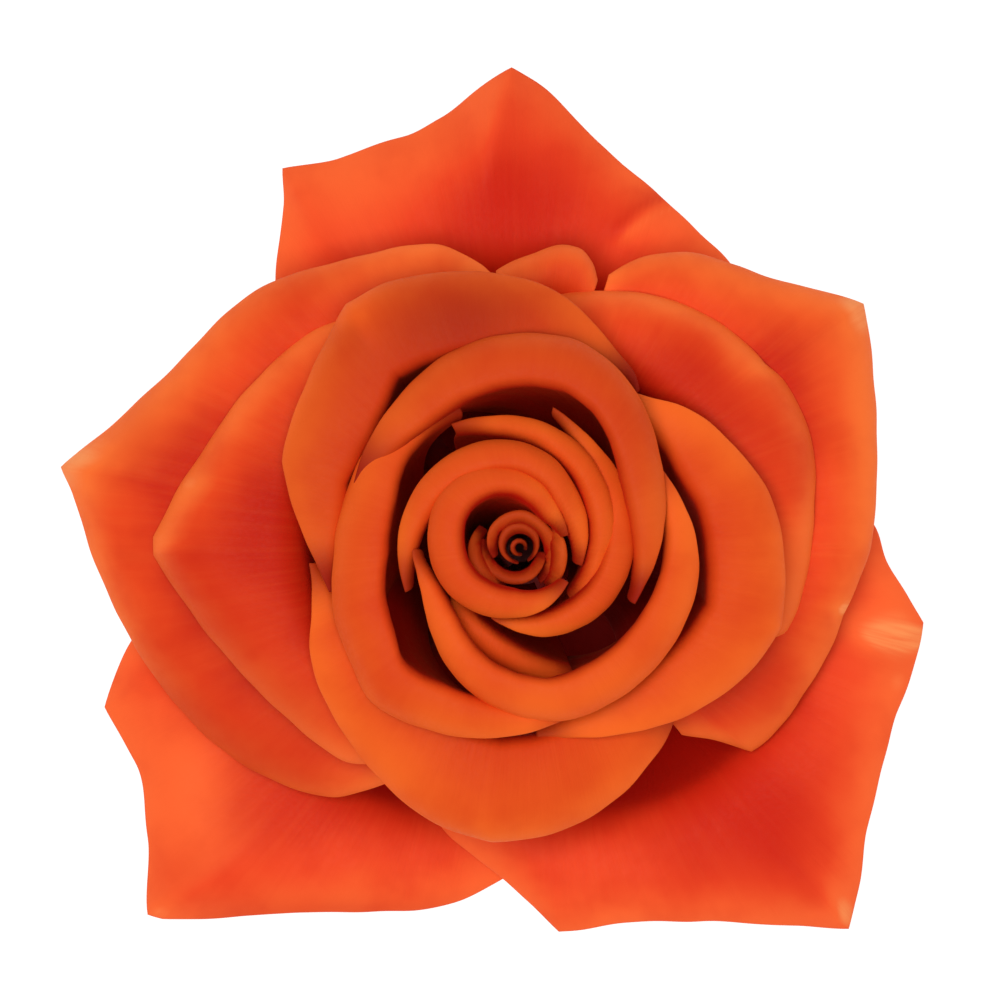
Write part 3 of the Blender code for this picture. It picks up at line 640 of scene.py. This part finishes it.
def sheet_object(name, points, values):
    """A mesh sheet through rows and columns of points, with the values that its finish reads."""
    rows, columns = points.shape[:2]
    index = np.arange(rows * columns).reshape(rows, columns)
    corners = (index[:-1, :-1], index[:-1, 1:], index[1:, 1:], index[1:, :-1])
    faces = np.stack(corners, axis=-1).reshape(-1, 4)
    mesh = bpy.data.meshes.new(name)
    mesh.from_pydata(points.reshape(-1, 3).tolist(), [], faces.tolist())
    up = along_lines(points, 0)
    across = along_lines(points, 1)
    to_edge = up[-1] - up
    to_side = np.minimum(across, across[:, -1:] - across)
    values = dict(values)
    values["along"] = up / up[-1]
    values["edge"] = to_edge
    values["border"] = np.minimum(np.minimum(to_edge, up), to_side)
    for key, value in values.items():
        layer = mesh.attributes.new(key, "FLOAT", "POINT")
        layer.data.foreach_set("value", np.ascontiguousarray(value, dtype=np.float32).ravel())
    uv = mesh.uv_layers.new(name="petal")
    flat = np.stack([values["across"], values["along"]], axis=-1).reshape(-1, 2)
    loops = np.empty(len(mesh.loops), dtype=np.int32)
    mesh.loops.foreach_get("vertex_index", loops)
    uv.data.foreach_set("uv", flat[loops].astype(np.float32).ravel())
    return add_object(name, mesh)


def new_tree(name, inputs, output):
    """A Geometry Nodes tree with named inputs, each with its type, and one output."""
    tree = bpy.data.node_groups.new(name, "GeometryNodeTree")
    for label, kind in inputs.items():
        tree.interface.new_socket(label, in_out="INPUT", socket_type=f"NodeSocket{kind}")
    tree.interface.new_socket(output, in_out="OUTPUT", socket_type="NodeSocketGeometry")
    graph = NodeGraph(tree)
    return graph, graph.add("NodeGroupInput").outputs


def close_tree(graph, geometry, material):
    """Ends a tree with plain geometry that has its material."""
    whole = graph.add("GeometryNodeRealizeInstances", {"Geometry": geometry})
    finish = graph.add("GeometryNodeSetMaterial",
                       {"Geometry": whole.outputs[0], "Material": material})
    graph.feed(graph.add("NodeGroupOutput").inputs[0], finish.outputs[0])
    return graph.tree


def blade_tree():
    """Geometry Nodes that turn a sheet into a blade with veins, wrinkles and a rounded rim."""
    sizes = ("Thickness", "Rim Width", "Vein Height", "Vein Count", "Wrinkle Height",
             "Wrinkle Size", "Seed")
    inputs = {"Sheet": "Geometry", **dict.fromkeys(sizes, "Float"), "Material": "Material"}
    graph, given = new_tree("Rose Blade", inputs, "Blade")
    across = graph.named("across")
    along = graph.named("along")
    border = graph.named("border")
    normal = graph.add("GeometryNodeInputNormal").outputs[0]
    place = graph.add("GeometryNodeInputPosition").outputs[0]
    noise = graph.add("ShaderNodeTexNoise", {
        "Vector": place, "W": given["Seed"], "Detail": 1.0,
        "Scale": graph.math("DIVIDE", 1.0, given["Wrinkle Size"])}, noise_dimensions="4D")
    drift = graph.math("SUBTRACT", noise.outputs[0], 0.5)
    swell = graph.times(drift, given["Wrinkle Height"])
    swell = graph.times(swell, graph.remap(along, 0.25, 0.8))
    turn = graph.times(across, graph.times(given["Vein Count"], 2 * math.pi))
    turn = graph.math("MULTIPLY_ADD", drift, 5.0, turn)
    vein = graph.times(graph.math("SINE", turn), given["Vein Height"])
    vein = graph.times(vein, graph.remap(border, 0.0, 2 * MM))
    vein = graph.times(vein, graph.remap(along, 0.1, 0.5))
    relief = graph.moved(given["Sheet"], graph.scaled(normal, graph.math("ADD", swell, vein)))
    inward = graph.math("SUBTRACT", 1.0, graph.math("DIVIDE", border, given["Rim Width"], clamp=True))
    rounding = graph.math("SQRT", graph.math("SUBTRACT", 1.0, graph.math("POWER", inward, 2.0)))
    taper = graph.remap(along, 0.0, 0.6, 0.65, 0.5)
    half = graph.times(graph.times(given["Thickness"], taper), rounding)
    front = graph.moved(relief, graph.scaled(normal, half))
    back = graph.moved(relief, graph.scaled(normal, graph.times(half, -1.0)))
    flipped = graph.add("GeometryNodeFlipFaces", {"Mesh": back}).outputs[0]
    sheets = []
    for sheet, under in ((front, 1.0), (flipped, 0.0)):
        marked = graph.add("GeometryNodeStoreNamedAttribute", {
            "Geometry": sheet, "Name": "under", "Value": under}, data_type="FLOAT")
        sheets.append(marked.outputs[0])
    closed = graph.add("GeometryNodeMergeByDistance",
                       {"Geometry": graph.joined(*sheets), "Distance": 0.002 * MM})
    even = graph.add("GeometryNodeSetShadeSmooth", {"Geometry": closed.outputs[0]})
    return close_tree(graph, even.outputs[0], given["Material"])


def down_tree():
    """Geometry Nodes that set short tapered hairs on a closed surface and keep the surface."""
    inputs = {"Surface": "Geometry", "Density": "Float", "Hair Length": "Float",
              "Lowest": "Float", "Seed": "Int", "Material": "Material"}
    graph, given = new_tree("Rose Down", inputs, "Downy Surface")
    place = graph.add("GeometryNodeInputPosition").outputs[0]
    level = graph.add("ShaderNodeSeparateXYZ", {0: place}).outputs["Z"]
    high = graph.add("FunctionNodeCompare", {0: level, 1: given["Lowest"]}, data_type="FLOAT",
                     operation="GREATER_THAN").outputs[0]
    points = graph.add("GeometryNodeDistributePointsOnFaces", {
        "Mesh": given["Surface"], "Selection": high, "Density": given["Density"],
        "Seed": given["Seed"]})
    hair = graph.add("GeometryNodeMeshCone", {
        "Vertices": 4, "Radius Top": 0.0,
        "Radius Bottom": graph.times(given["Hair Length"], 0.07),
        "Depth": given["Hair Length"]}, fill_type="NONE")
    lean = graph.add("FunctionNodeRandomValue", {0: (-0.5, -0.5, 0.0), 1: (0.5, 0.5, 0.0)},
                     data_type="FLOAT_VECTOR").outputs[0]
    size = graph.add("FunctionNodeRandomValue", {2: 0.5, 3: 1.0}, data_type="FLOAT").outputs[1]
    turned = graph.add("FunctionNodeRotateRotation", {
        "Rotation": points.outputs["Rotation"],
        "Rotate By": graph.add("FunctionNodeEulerToRotation", {0: lean}).outputs[0]},
        rotation_space="LOCAL")
    planted = graph.add("GeometryNodeInstanceOnPoints", {
        "Points": points.outputs["Points"], "Instance": hair.outputs["Mesh"],
        "Rotation": turned.outputs[0], "Scale": size})
    downy = graph.joined(planted.outputs[0], given["Surface"])
    return close_tree(graph, downy, given["Material"])


def bake_tree(item, tree, inputs):
    """Runs a Geometry Nodes tree on an object and keeps the result as the object's plain mesh."""
    keys = {socket.name: socket.identifier for socket in tree.interface.items_tree
            if socket.item_type == "SOCKET" and socket.in_out == "INPUT"}
    modifier = item.modifiers.new(tree.name, "NODES")
    modifier.node_group = tree
    for name, value in inputs.items():
        modifier[keys[name]] = value
    graph = bpy.context.evaluated_depsgraph_get()
    made = bpy.data.meshes.new_from_object(item.evaluated_get(graph), depsgraph=graph,
                                           preserve_all_data_layers=True)
    item.modifiers.remove(modifier)
    made.name = item.name
    item.data = made


def new_material(name):
    """An empty material with its graph and its shader."""
    material = bpy.data.materials.new(name)
    material.use_nodes = True
    return material, NodeGraph(material.node_tree), material.node_tree.nodes["Principled BSDF"]


def finish_skin(graph, shader, colour, grain, roughness, relief, strength, depth):
    """Feeds a skin's colour, its uneven roughness and its fine relief to the shader."""
    graph.feed(shader.inputs["Base Color"], colour)
    graph.feed(shader.inputs["Roughness"], graph.remap(grain, 0.2, 0.8, *roughness))
    bump = graph.add("ShaderNodeBump", {"Height": relief, "Strength": strength, "Distance": depth})
    graph.feed(shader.inputs["Normal"], bump.outputs[0])


def set_sheen(shader, weight, roughness, tint):
    shader.inputs["Sheen Weight"].default_value = weight
    shader.inputs["Sheen Roughness"].default_value = roughness
    shader.inputs["Sheen Tint"].default_value = (*tint, 1.0)


def petal_material(group, settings):
    """Velvety petal skin: a warm margin, a redder body, deep red below the crest, partly painted
    shade in the crevices, painted shade dark at the foot, streaks, mottling, painted light and
    shade in places with some real pale marks, and a paler under side that is yellow at the foot."""
    material, graph, shader = new_material(f"petal {group}")
    margin, body, deep = (getattr(settings, f"{group}_{part}")
                          for part in ("margin", "body", "deep"))
    margin_width, inner_depth, deep_level = ZONES[group]
    along = graph.attribute("along")
    across = graph.attribute("across")
    shading_and_marks = graph.attribute("shading_and_marks")
    under = graph.attribute("under")
    place = graph.add("ShaderNodeTexCoord").outputs["Object"]
    lines = graph.add("ShaderNodeCombineXYZ", {"X": graph.times(across, 70.0),
                                               "Y": graph.times(along, 2.5)})
    streak = graph.noise(lines.outputs[0], 1.0, 3.0, 0.6)
    mottle = graph.noise(place, 110.0, 3.0)
    edge = graph.attribute("edge")
    uneven = graph.math("MULTIPLY_ADD", mottle, 1.2 * margin_width, edge)
    colour = graph.mix(graph.remap(uneven, 1.8 * margin_width, 0.4 * margin_width), body, margin)
    # Painted shade in part: the colour deepens further in from the edge, where a neighbour's rim
    # hangs over.
    inner = graph.remap(uneven, 1.5 * margin_width, 3.2 * margin_width, 0.0, inner_depth)
    colour = graph.mix(inner, colour, deep)
    colour = graph.mix(graph.remap(streak, 0.4, 0.7, 0.0, 0.08), colour, margin)
    # Painted light: positive shading values turn towards the margin colour; some are real pale marks.
    colour = graph.mix(graph.remap(shading_and_marks, 0.0, 0.5, 0.0, 0.9, False), colour, margin)
    colour = graph.mix(graph.remap(mottle, 0.42, 0.75, 0.0, 0.18), colour, deep)
    # Painted shade: negative shading values darken the petal, partly a real deeper red.
    if group in ("guard", "outer"):
        colour = graph.mix(graph.remap(shading_and_marks, 0.0, -1.0, 0.0, 0.8, False), colour, deep)
    else:
        colour = graph.mix(graph.remap(shading_and_marks, 0.0, -1.0), colour, settings.shade_and_deep_red)
    # Painted shade in part: deep red on the walls below the crest, down in the crevices.
    colour = graph.mix(graph.remap(graph.attribute("sunk"), 0.15 * MM, deep_level), colour, deep)
    # Painted shade: the upper face darkens to near black towards the foot, deep inside the bloom.
    upper = graph.math("SUBTRACT", 1.0, under)
    foot_shade = graph.times(graph.remap(along, 0.42, 0.25, 0.0, 0.75), upper)
    colour = graph.mix(foot_shade, colour, settings.gloom)
    # Real pale marks and painted highlights: the strongest positive shading values fade to the pale
    # colour.
    pale_marks_and_highlights = graph.times(graph.remap(shading_and_marks, 0.5, 1.0), graph.remap(streak, 0.3, 0.6, 0.3, 0.9))
    colour = graph.mix(pale_marks_and_highlights, colour, settings.pale)
    colour = graph.mix(graph.times(under, 0.6), colour, settings.under)
    claw = graph.times(graph.remap(along, 0.2, 0.05), under)
    colour = graph.mix(claw, colour, settings.claw)
    shader.inputs["Specular IOR Level"].default_value = 0.08
    set_sheen(shader, 0.08, 0.4, (1.0, 0.15, 0.02))
    grain = graph.noise(place, 2200.0, 2.0)
    finish_skin(graph, shader, colour, grain, (0.5, 0.68), streak, 0.35, 0.2 * MM)
    return material


def make_petals(context, petals, group):
    """Builds the petals of one group, each in the place of its solid."""
    settings = context.scene.rose_petals
    tree = bpy.data.node_groups.get("Rose Blade") or blade_tree()
    material = petal_material(group, settings)
    for number, petal in enumerate(petals):
        points, values = petal_surface(petal, settings.spacing)
        item = sheet_object(petal.node.replace("petal_", "rose_"), points, values)
        width = float(np.max(np.linalg.norm(np.diff(points, axis=1), axis=-1).sum(axis=1)))
        bake_tree(item, tree, {
            "Thickness": settings.blade, "Rim Width": settings.rim,
            "Vein Height": settings.vein_height,
            "Vein Count": float(round(width / settings.vein_spacing)),
            "Wrinkle Height": settings.wrinkle_height * min(1.0, petal.ring / OUTER_RING + 0.15),
            "Wrinkle Size": settings.wrinkle_size,
            "Seed": float(settings.seed + 3 * number + petal.ring), "Material": material})
        put_in_place(item, petal.node)


def put_in_place(item, node):
    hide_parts(node)
    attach(item, BODY)


def hip_material(settings):
    """Waxy green skin with pale specks, a cut face with its pith, and the dome on top painted dark
    red as shade.
    """
    material, graph, shader = new_material("hip skin")
    place = graph.add("ShaderNodeTexCoord").outputs["Object"]
    axes = graph.add("ShaderNodeSeparateXYZ", {0: place}).outputs
    height = axes["Z"]
    radius = graph.math("SQRT", graph.math("ADD", graph.math("POWER", axes["X"], 2.0),
                                           graph.math("POWER", axes["Y"], 2.0)))
    shade = graph.noise(place, 260.0, 3.0)
    colour = graph.mix(graph.remap(height, 4 * MM, 9 * MM), settings.stalk, settings.hip)
    colour = graph.mix(graph.remap(shade, 0.35, 0.75, 0.0, 0.4), colour, settings.sepal_vein)
    specks = graph.add("ShaderNodeTexVoronoi", {"Vector": place, "Scale": 900.0}).outputs["Distance"]
    colour = graph.mix(graph.remap(specks, 0.22, 0.12, 0.0, 0.2), colour, settings.pith)
    # Painted shade: the dome's top turns dark red.
    colour = graph.mix(graph.remap(height, 11.2 * MM, 12.1 * MM), colour, settings.socket)
    cut = graph.remap(height, 0.12 * MM, 0.04 * MM)
    pores = graph.noise(place, 1500.0, 2.0)
    pith = graph.mix(graph.remap(pores, 0.3, 0.7, 0.0, 0.5), settings.pith, settings.sepal_vein)
    pith = graph.mix(graph.remap(radius, 1.7 * MM, 2.2 * MM), pith, settings.stalk)
    colour = graph.mix(cut, colour, pith)
    finish_skin(graph, shader, colour, shade, (0.38, 0.6), shade, 0.4, 0.1 * MM)
    return material


def sepal_material(settings):
    """Downy green leaf skin with a paler midrib and veins and a reddish margin."""
    material, graph, shader = new_material("sepal skin")
    across = graph.attribute("across")
    along = graph.attribute("along")
    place = graph.add("ShaderNodeTexCoord").outputs["Object"]
    off_rib = graph.math("ABSOLUTE", graph.math("SUBTRACT", across, 0.5))
    shade = graph.noise(place, 350.0, 3.0)
    run = graph.math("MULTIPLY_ADD", off_rib, -28.0, graph.times(along, 90.0))
    run = graph.math("MULTIPLY_ADD", shade, 2.0, run)
    veins = graph.remap(graph.math("SINE", run), 0.8, 1.0, 0.0, 0.45)
    colour = graph.mix(graph.remap(shade, 0.3, 0.75, 0.0, 0.5), settings.sepal, settings.hip)
    colour = graph.mix(veins, colour, settings.sepal_vein)
    colour = graph.mix(graph.remap(off_rib, 0.05, 0.015), colour, settings.sepal_vein)
    colour = graph.mix(graph.remap(off_rib, 0.46, 0.5, 0.0, 0.8), colour, settings.sepal_edge)
    colour = graph.mix(graph.remap(along, 0.82, 1.0, 0.0, 0.7), colour, settings.sepal_edge)
    set_sheen(shader, 0.25, 0.5, (0.85, 1.0, 0.75))
    finish_skin(graph, shader, colour, shade, (0.55, 0.75), shade, 0.5, 0.1 * MM)
    return material


def smooth_curve(points, steps):
    """A Catmull-Rom curve through rows of numbers, with steps pieces between each two."""
    keys = np.array(points, dtype=float)
    ends = np.vstack([2 * keys[0] - keys[1], keys, 2 * keys[-1] - keys[-2]])
    t = (np.arange(steps) / steps)[:, None]
    parts = []
    for a, b, c, d in zip(ends, ends[1:], ends[2:], ends[3:]):
        parts.append(0.5 * (2 * b + (c - a) * t + (2 * a - 5 * b + 4 * c - d) * t ** 2
                            + (3 * b - a - 3 * c + d) * t ** 3))
    return np.vstack(parts + [keys[-1:]])


def make_hip(settings):
    """The urn-shaped hip with its cut stalk and five faint lobes, in rings closed on the axis."""
    stalk_radius = HIP_PROFILE[0][0]
    cut = [(radius, 0.0) for radius in STALK_CUT]
    stalk = [(stalk_radius, height) for height in STALK_LEVELS]
    wall = [tuple(point) for point in smooth_curve(HIP_PROFILE[1:], 6)]
    dome = []
    for step in range(4 * OUTER_RING, -1, -1):
        radius, height = foot_of(step / 4)
        dome.append((radius / MM, (height - HIP_CLEARANCE) / MM))
    profile = np.array(cut + stalk + wall + dome) * MM
    radius = profile[:, :1]
    height = profile[:, 1:]
    bearing = 2 * math.pi * np.arange(HIP_SIDES) / HIP_SIDES
    start, full, fade, end = HIP_SPAN
    swell = smooth(height, start, full) * (1 - smooth(height, fade, end))
    ridge = STALK_RIDGE * np.cos(STALK_RIDGES * bearing) * (1 - swell) * smooth(height, 0, MM)
    lobe = settings.lobe * swell * np.cos(HIP_LOBES * (bearing - math.radians(FIRST_SEPAL)))
    radius = radius + np.where(height < end, lobe + ridge, 0.0)
    points = np.stack([radius * np.cos(bearing), radius * np.sin(bearing),
                       height + 0.0 * bearing], axis=-1)
    this = np.arange(points[..., 0].size).reshape(points.shape[:2])
    after = np.roll(this, -1, axis=1)
    quads = np.stack([this[:-1], after[:-1], after[1:], this[1:]], axis=-1).reshape(-1, 4)
    foot = this.size
    under = [(foot, b, a) for a, b in zip(this[0].tolist(), after[0].tolist())]
    over = [(a, b, foot + 1) for a, b in zip(this[-1].tolist(), after[-1].tolist())]
    centres = [(0.0, 0.0, 0.0), (0.0, 0.0, HIP_TOP - HIP_CLEARANCE)]
    mesh = bpy.data.meshes.new("rose_hip")
    mesh.from_pydata(points.reshape(-1, 3).tolist() + centres, [], quads.tolist() + under + over)
    mesh.shade_smooth()
    mesh.materials.append(hip_material(settings))
    put_in_place(add_object("rose_hip", mesh), "hip")


def sepal_surface(bearing, settings):
    """The mid-surface of a sepal with its midrib, its toothed margin and its lifted sides."""
    length = sum(math.dist(a[:2], b[:2]) for a, b in zip(SEPAL_ROUTE, SEPAL_ROUTE[1:]))
    steps = math.ceil(length * MM / settings.sepal_spacing / (len(SEPAL_ROUTE) - 1))
    route = smooth_curve(SEPAL_ROUTE, steps)
    side = np.linspace(-1.0, 1.0, SEPAL_COLUMNS)[None, :]
    side = np.sign(side) * np.abs(side) ** 0.9
    distance, height, half = (route[:, i:i + 1] for i in range(3))
    share = np.linspace(0.0, 1.0, len(route))[:, None]
    teeth = settings.tooth / MM * np.maximum(0.0, np.sin(share * SEPAL_TOOTH_WAVE + side)) ** 2
    half = half + teeth * smooth(share, 0.12, 0.3) * (1 - smooth(share, 0.7, 0.9)) * np.abs(side) ** 3
    lift = np.where(distance < SEPAL_LANDING, SEPAL_CUP, SEPAL_TIP_CUP) * half * side ** 2
    rib = settings.midrib / MM * np.exp(-(side / 0.1) ** 2) * (1 - share) * smooth(height, 1.5, 4.0)
    radial = distance + 0.0 * side
    sideways = side * half
    z = height + lift - rib
    turn = math.radians(bearing)
    points = np.stack([radial * math.cos(turn) - sideways * math.sin(turn),
                       radial * math.sin(turn) + sideways * math.cos(turn), z], axis=-1) * MM
    across = np.broadcast_to(0.5 + 0.5 * side, z.shape)
    return points, {"across": across, "sunk": np.zeros_like(z), "shading_and_marks": np.zeros_like(z)}


def make_sepals(settings):
    """Builds the five sepals and sets their down on them."""
    tree = bpy.data.node_groups.get("Rose Blade") or blade_tree()
    down = down_tree()
    material = sepal_material(settings)
    for number in range(SEPAL_COUNT):
        node = f"sepal_{number + 1}"
        points, values = sepal_surface(FIRST_SEPAL + 360 * number / SEPAL_COUNT, settings)
        item = sheet_object(f"rose_{node}", points, values)
        bake_tree(item, tree, {
            "Thickness": settings.sepal_blade, "Rim Width": settings.sepal_rim,
            "Vein Height": 0.0, "Vein Count": 1.0, "Wrinkle Height": SEPAL_WRINKLE,
            "Wrinkle Size": SEPAL_WRINKLE_SIZE, "Seed": float(number), "Material": material})
        bake_tree(item, down, {
            "Density": settings.down_density, "Hair Length": settings.down_length,
            "Lowest": BARE_BELOW, "Seed": number, "Material": material})
        put_in_place(item, node)


class ROSE_OT_guard_petals(bpy.types.Operator):
    """Build the three large guard petals"""
    bl_idname = "rose.guard_petals"
    bl_label = "Guard Petals"

    def execute(self, context):
        make_petals(context, GUARD_PETALS, "guard")
        return {"FINISHED"}


class ROSE_OT_outer_petals(bpy.types.Operator):
    """Build the outer petals and those of the second ring"""
    bl_idname = "rose.outer_petals"
    bl_label = "Outer Petals"

    def execute(self, context):
        make_petals(context, OUTER_PETALS, "outer")
        return {"FINISHED"}


class ROSE_OT_ring_petals(bpy.types.Operator):
    """Build the cupped petals of the third and fourth rings"""
    bl_idname = "rose.ring_petals"
    bl_label = "Ring Petals"

    def execute(self, context):
        make_petals(context, RING_PETALS, "ring")
        return {"FINISHED"}


class ROSE_OT_heart_petals(bpy.types.Operator):
    """Build the petals of the heart and the furled bud"""
    bl_idname = "rose.heart_petals"
    bl_label = "Heart Petals"

    def execute(self, context):
        make_petals(context, HEART_PETALS, "heart")
        return {"FINISHED"}


class ROSE_OT_hip(bpy.types.Operator):
    """Build the hip with its cut stalk"""
    bl_idname = "rose.hip"
    bl_label = "Hip"

    def execute(self, context):
        make_hip(context.scene.rose_green)
        return {"FINISHED"}


class ROSE_OT_sepals(bpy.types.Operator):
    """Build the five downy sepals"""
    bl_idname = "rose.sepals"
    bl_label = "Sepals"

    def execute(self, context):
        make_sepals(context.scene.rose_green)
        return {"FINISHED"}


class ROSE_OT_stage(bpy.types.Operator):
    """Set up the floor, the soft light and the camera"""
    bl_idname = "rose.stage"
    bl_label = "Stage"

    def execute(self, context):
        settings = context.scene.rose_stage
        make_floor(settings)
        make_lights(context, settings)
        make_camera(context, settings)
        return {"FINISHED"}


def make_floor(settings):
    """A pale floor just below the bloom, which gives off light so that it stays plain."""
    mesh = bpy.data.meshes.new("floor")
    shape = bmesh.new()
    bmesh.ops.create_grid(shape, x_segments=1, y_segments=1, size=FLOOR_REACH)
    bmesh.ops.translate(shape, verts=shape.verts[:], vec=(0.0, 0.0, -FLOOR_GAP))
    shape.to_mesh(mesh)
    shape.free()
    material = bpy.data.materials.new("floor")
    material.use_nodes = True
    shader = material.node_tree.nodes["Principled BSDF"]
    shader.inputs["Base Color"].default_value = (*settings.floor, 1)
    shader.inputs["Roughness"].default_value = 0.9
    shader.inputs["Emission Color"].default_value = (1.0, 1.0, 1.0, 1.0)
    shader.inputs["Emission Strength"].default_value = settings.glow
    mesh.materials.append(material)
    add_object("floor", mesh)


def make_light(name, place, watts):
    """A square soft light that faces the bloom."""
    light = bpy.data.lights.new(name, "AREA")
    light.shape = "SQUARE"
    light.size = LIGHT_SIZE
    light.energy = watts
    item = add_object(name, light)
    item.location = place
    item.rotation_euler = (-Vector(place)).to_track_quat("-Z", "Y").to_euler()
    item.visible_camera = False


def make_lights(context, settings):
    make_light("overhead", OVERHEAD_PLACE, settings.key_power)
    make_light("side", SIDE_PLACE, settings.fill_power)
    world = bpy.data.worlds.new("even light")
    world.use_nodes = True
    background = world.node_tree.nodes["Background"]
    background.inputs["Color"].default_value = (1.0, 1.0, 1.0, 1.0)
    background.inputs["Strength"].default_value = settings.sky
    context.scene.world = world
    context.scene.view_settings.view_transform = "Standard"


def make_camera(context, settings):
    """A long lens straight over the bloom, as wide as the view at the guard petals' height."""
    camera = bpy.data.cameras.new("camera")
    camera.sensor_width = 36.0
    distance = settings.camera_height - VIEW_LEVEL
    camera.lens = camera.sensor_width * distance / settings.view_width
    camera.clip_start = 0.1
    camera.clip_end = 50.0
    item = add_object("camera", camera)
    item.location = (*VIEW_MIDDLE, settings.camera_height)
    context.scene.camera = item


class ROSE_PT_panel(bpy.types.Panel):
    """Lists the bloom's pieces and settings"""
    bl_label = "Rose Bloom"
    bl_space_type = "VIEW_3D"
    bl_region_type = "UI"
    bl_category = "Rose"

    def draw(self, context):
        for step in STEPS:
            self.layout.operator(step)
        scene = context.scene
        for settings in (scene.rose_petals, scene.rose_green, scene.rose_stage):
            box = self.layout.box()
            for key in settings.bl_rna.properties.keys():
                if key not in {"rna_type", "name"}:
                    box.prop(settings, key)


STEPS = ("rose.guard_petals", "rose.outer_petals", "rose.ring_petals", "rose.heart_petals",
         "rose.hip", "rose.sepals", "rose.stage")
CLASSES = (RosePetalSettings, RoseGreenSettings, RoseStageSettings, ROSE_OT_guard_petals,
           ROSE_OT_outer_petals, ROSE_OT_ring_petals, ROSE_OT_heart_petals, ROSE_OT_hip,
           ROSE_OT_sepals, ROSE_OT_stage, ROSE_PT_panel)


def register():
    for item in CLASSES:
        bpy.utils.register_class(item)
    bpy.types.Scene.rose_petals = PointerProperty(type=RosePetalSettings)
    bpy.types.Scene.rose_green = PointerProperty(type=RoseGreenSettings)
    bpy.types.Scene.rose_stage = PointerProperty(type=RoseStageSettings)


def unregister():
    del bpy.types.Scene.rose_stage
    del bpy.types.Scene.rose_green
    del bpy.types.Scene.rose_petals
    for item in reversed(CLASSES):
        bpy.utils.unregister_class(item)


def main():
    register()
    for step in STEPS:
        group, name = step.split(".")
        getattr(getattr(bpy.ops, group), name)()


if __name__ == "__main__":
    main()
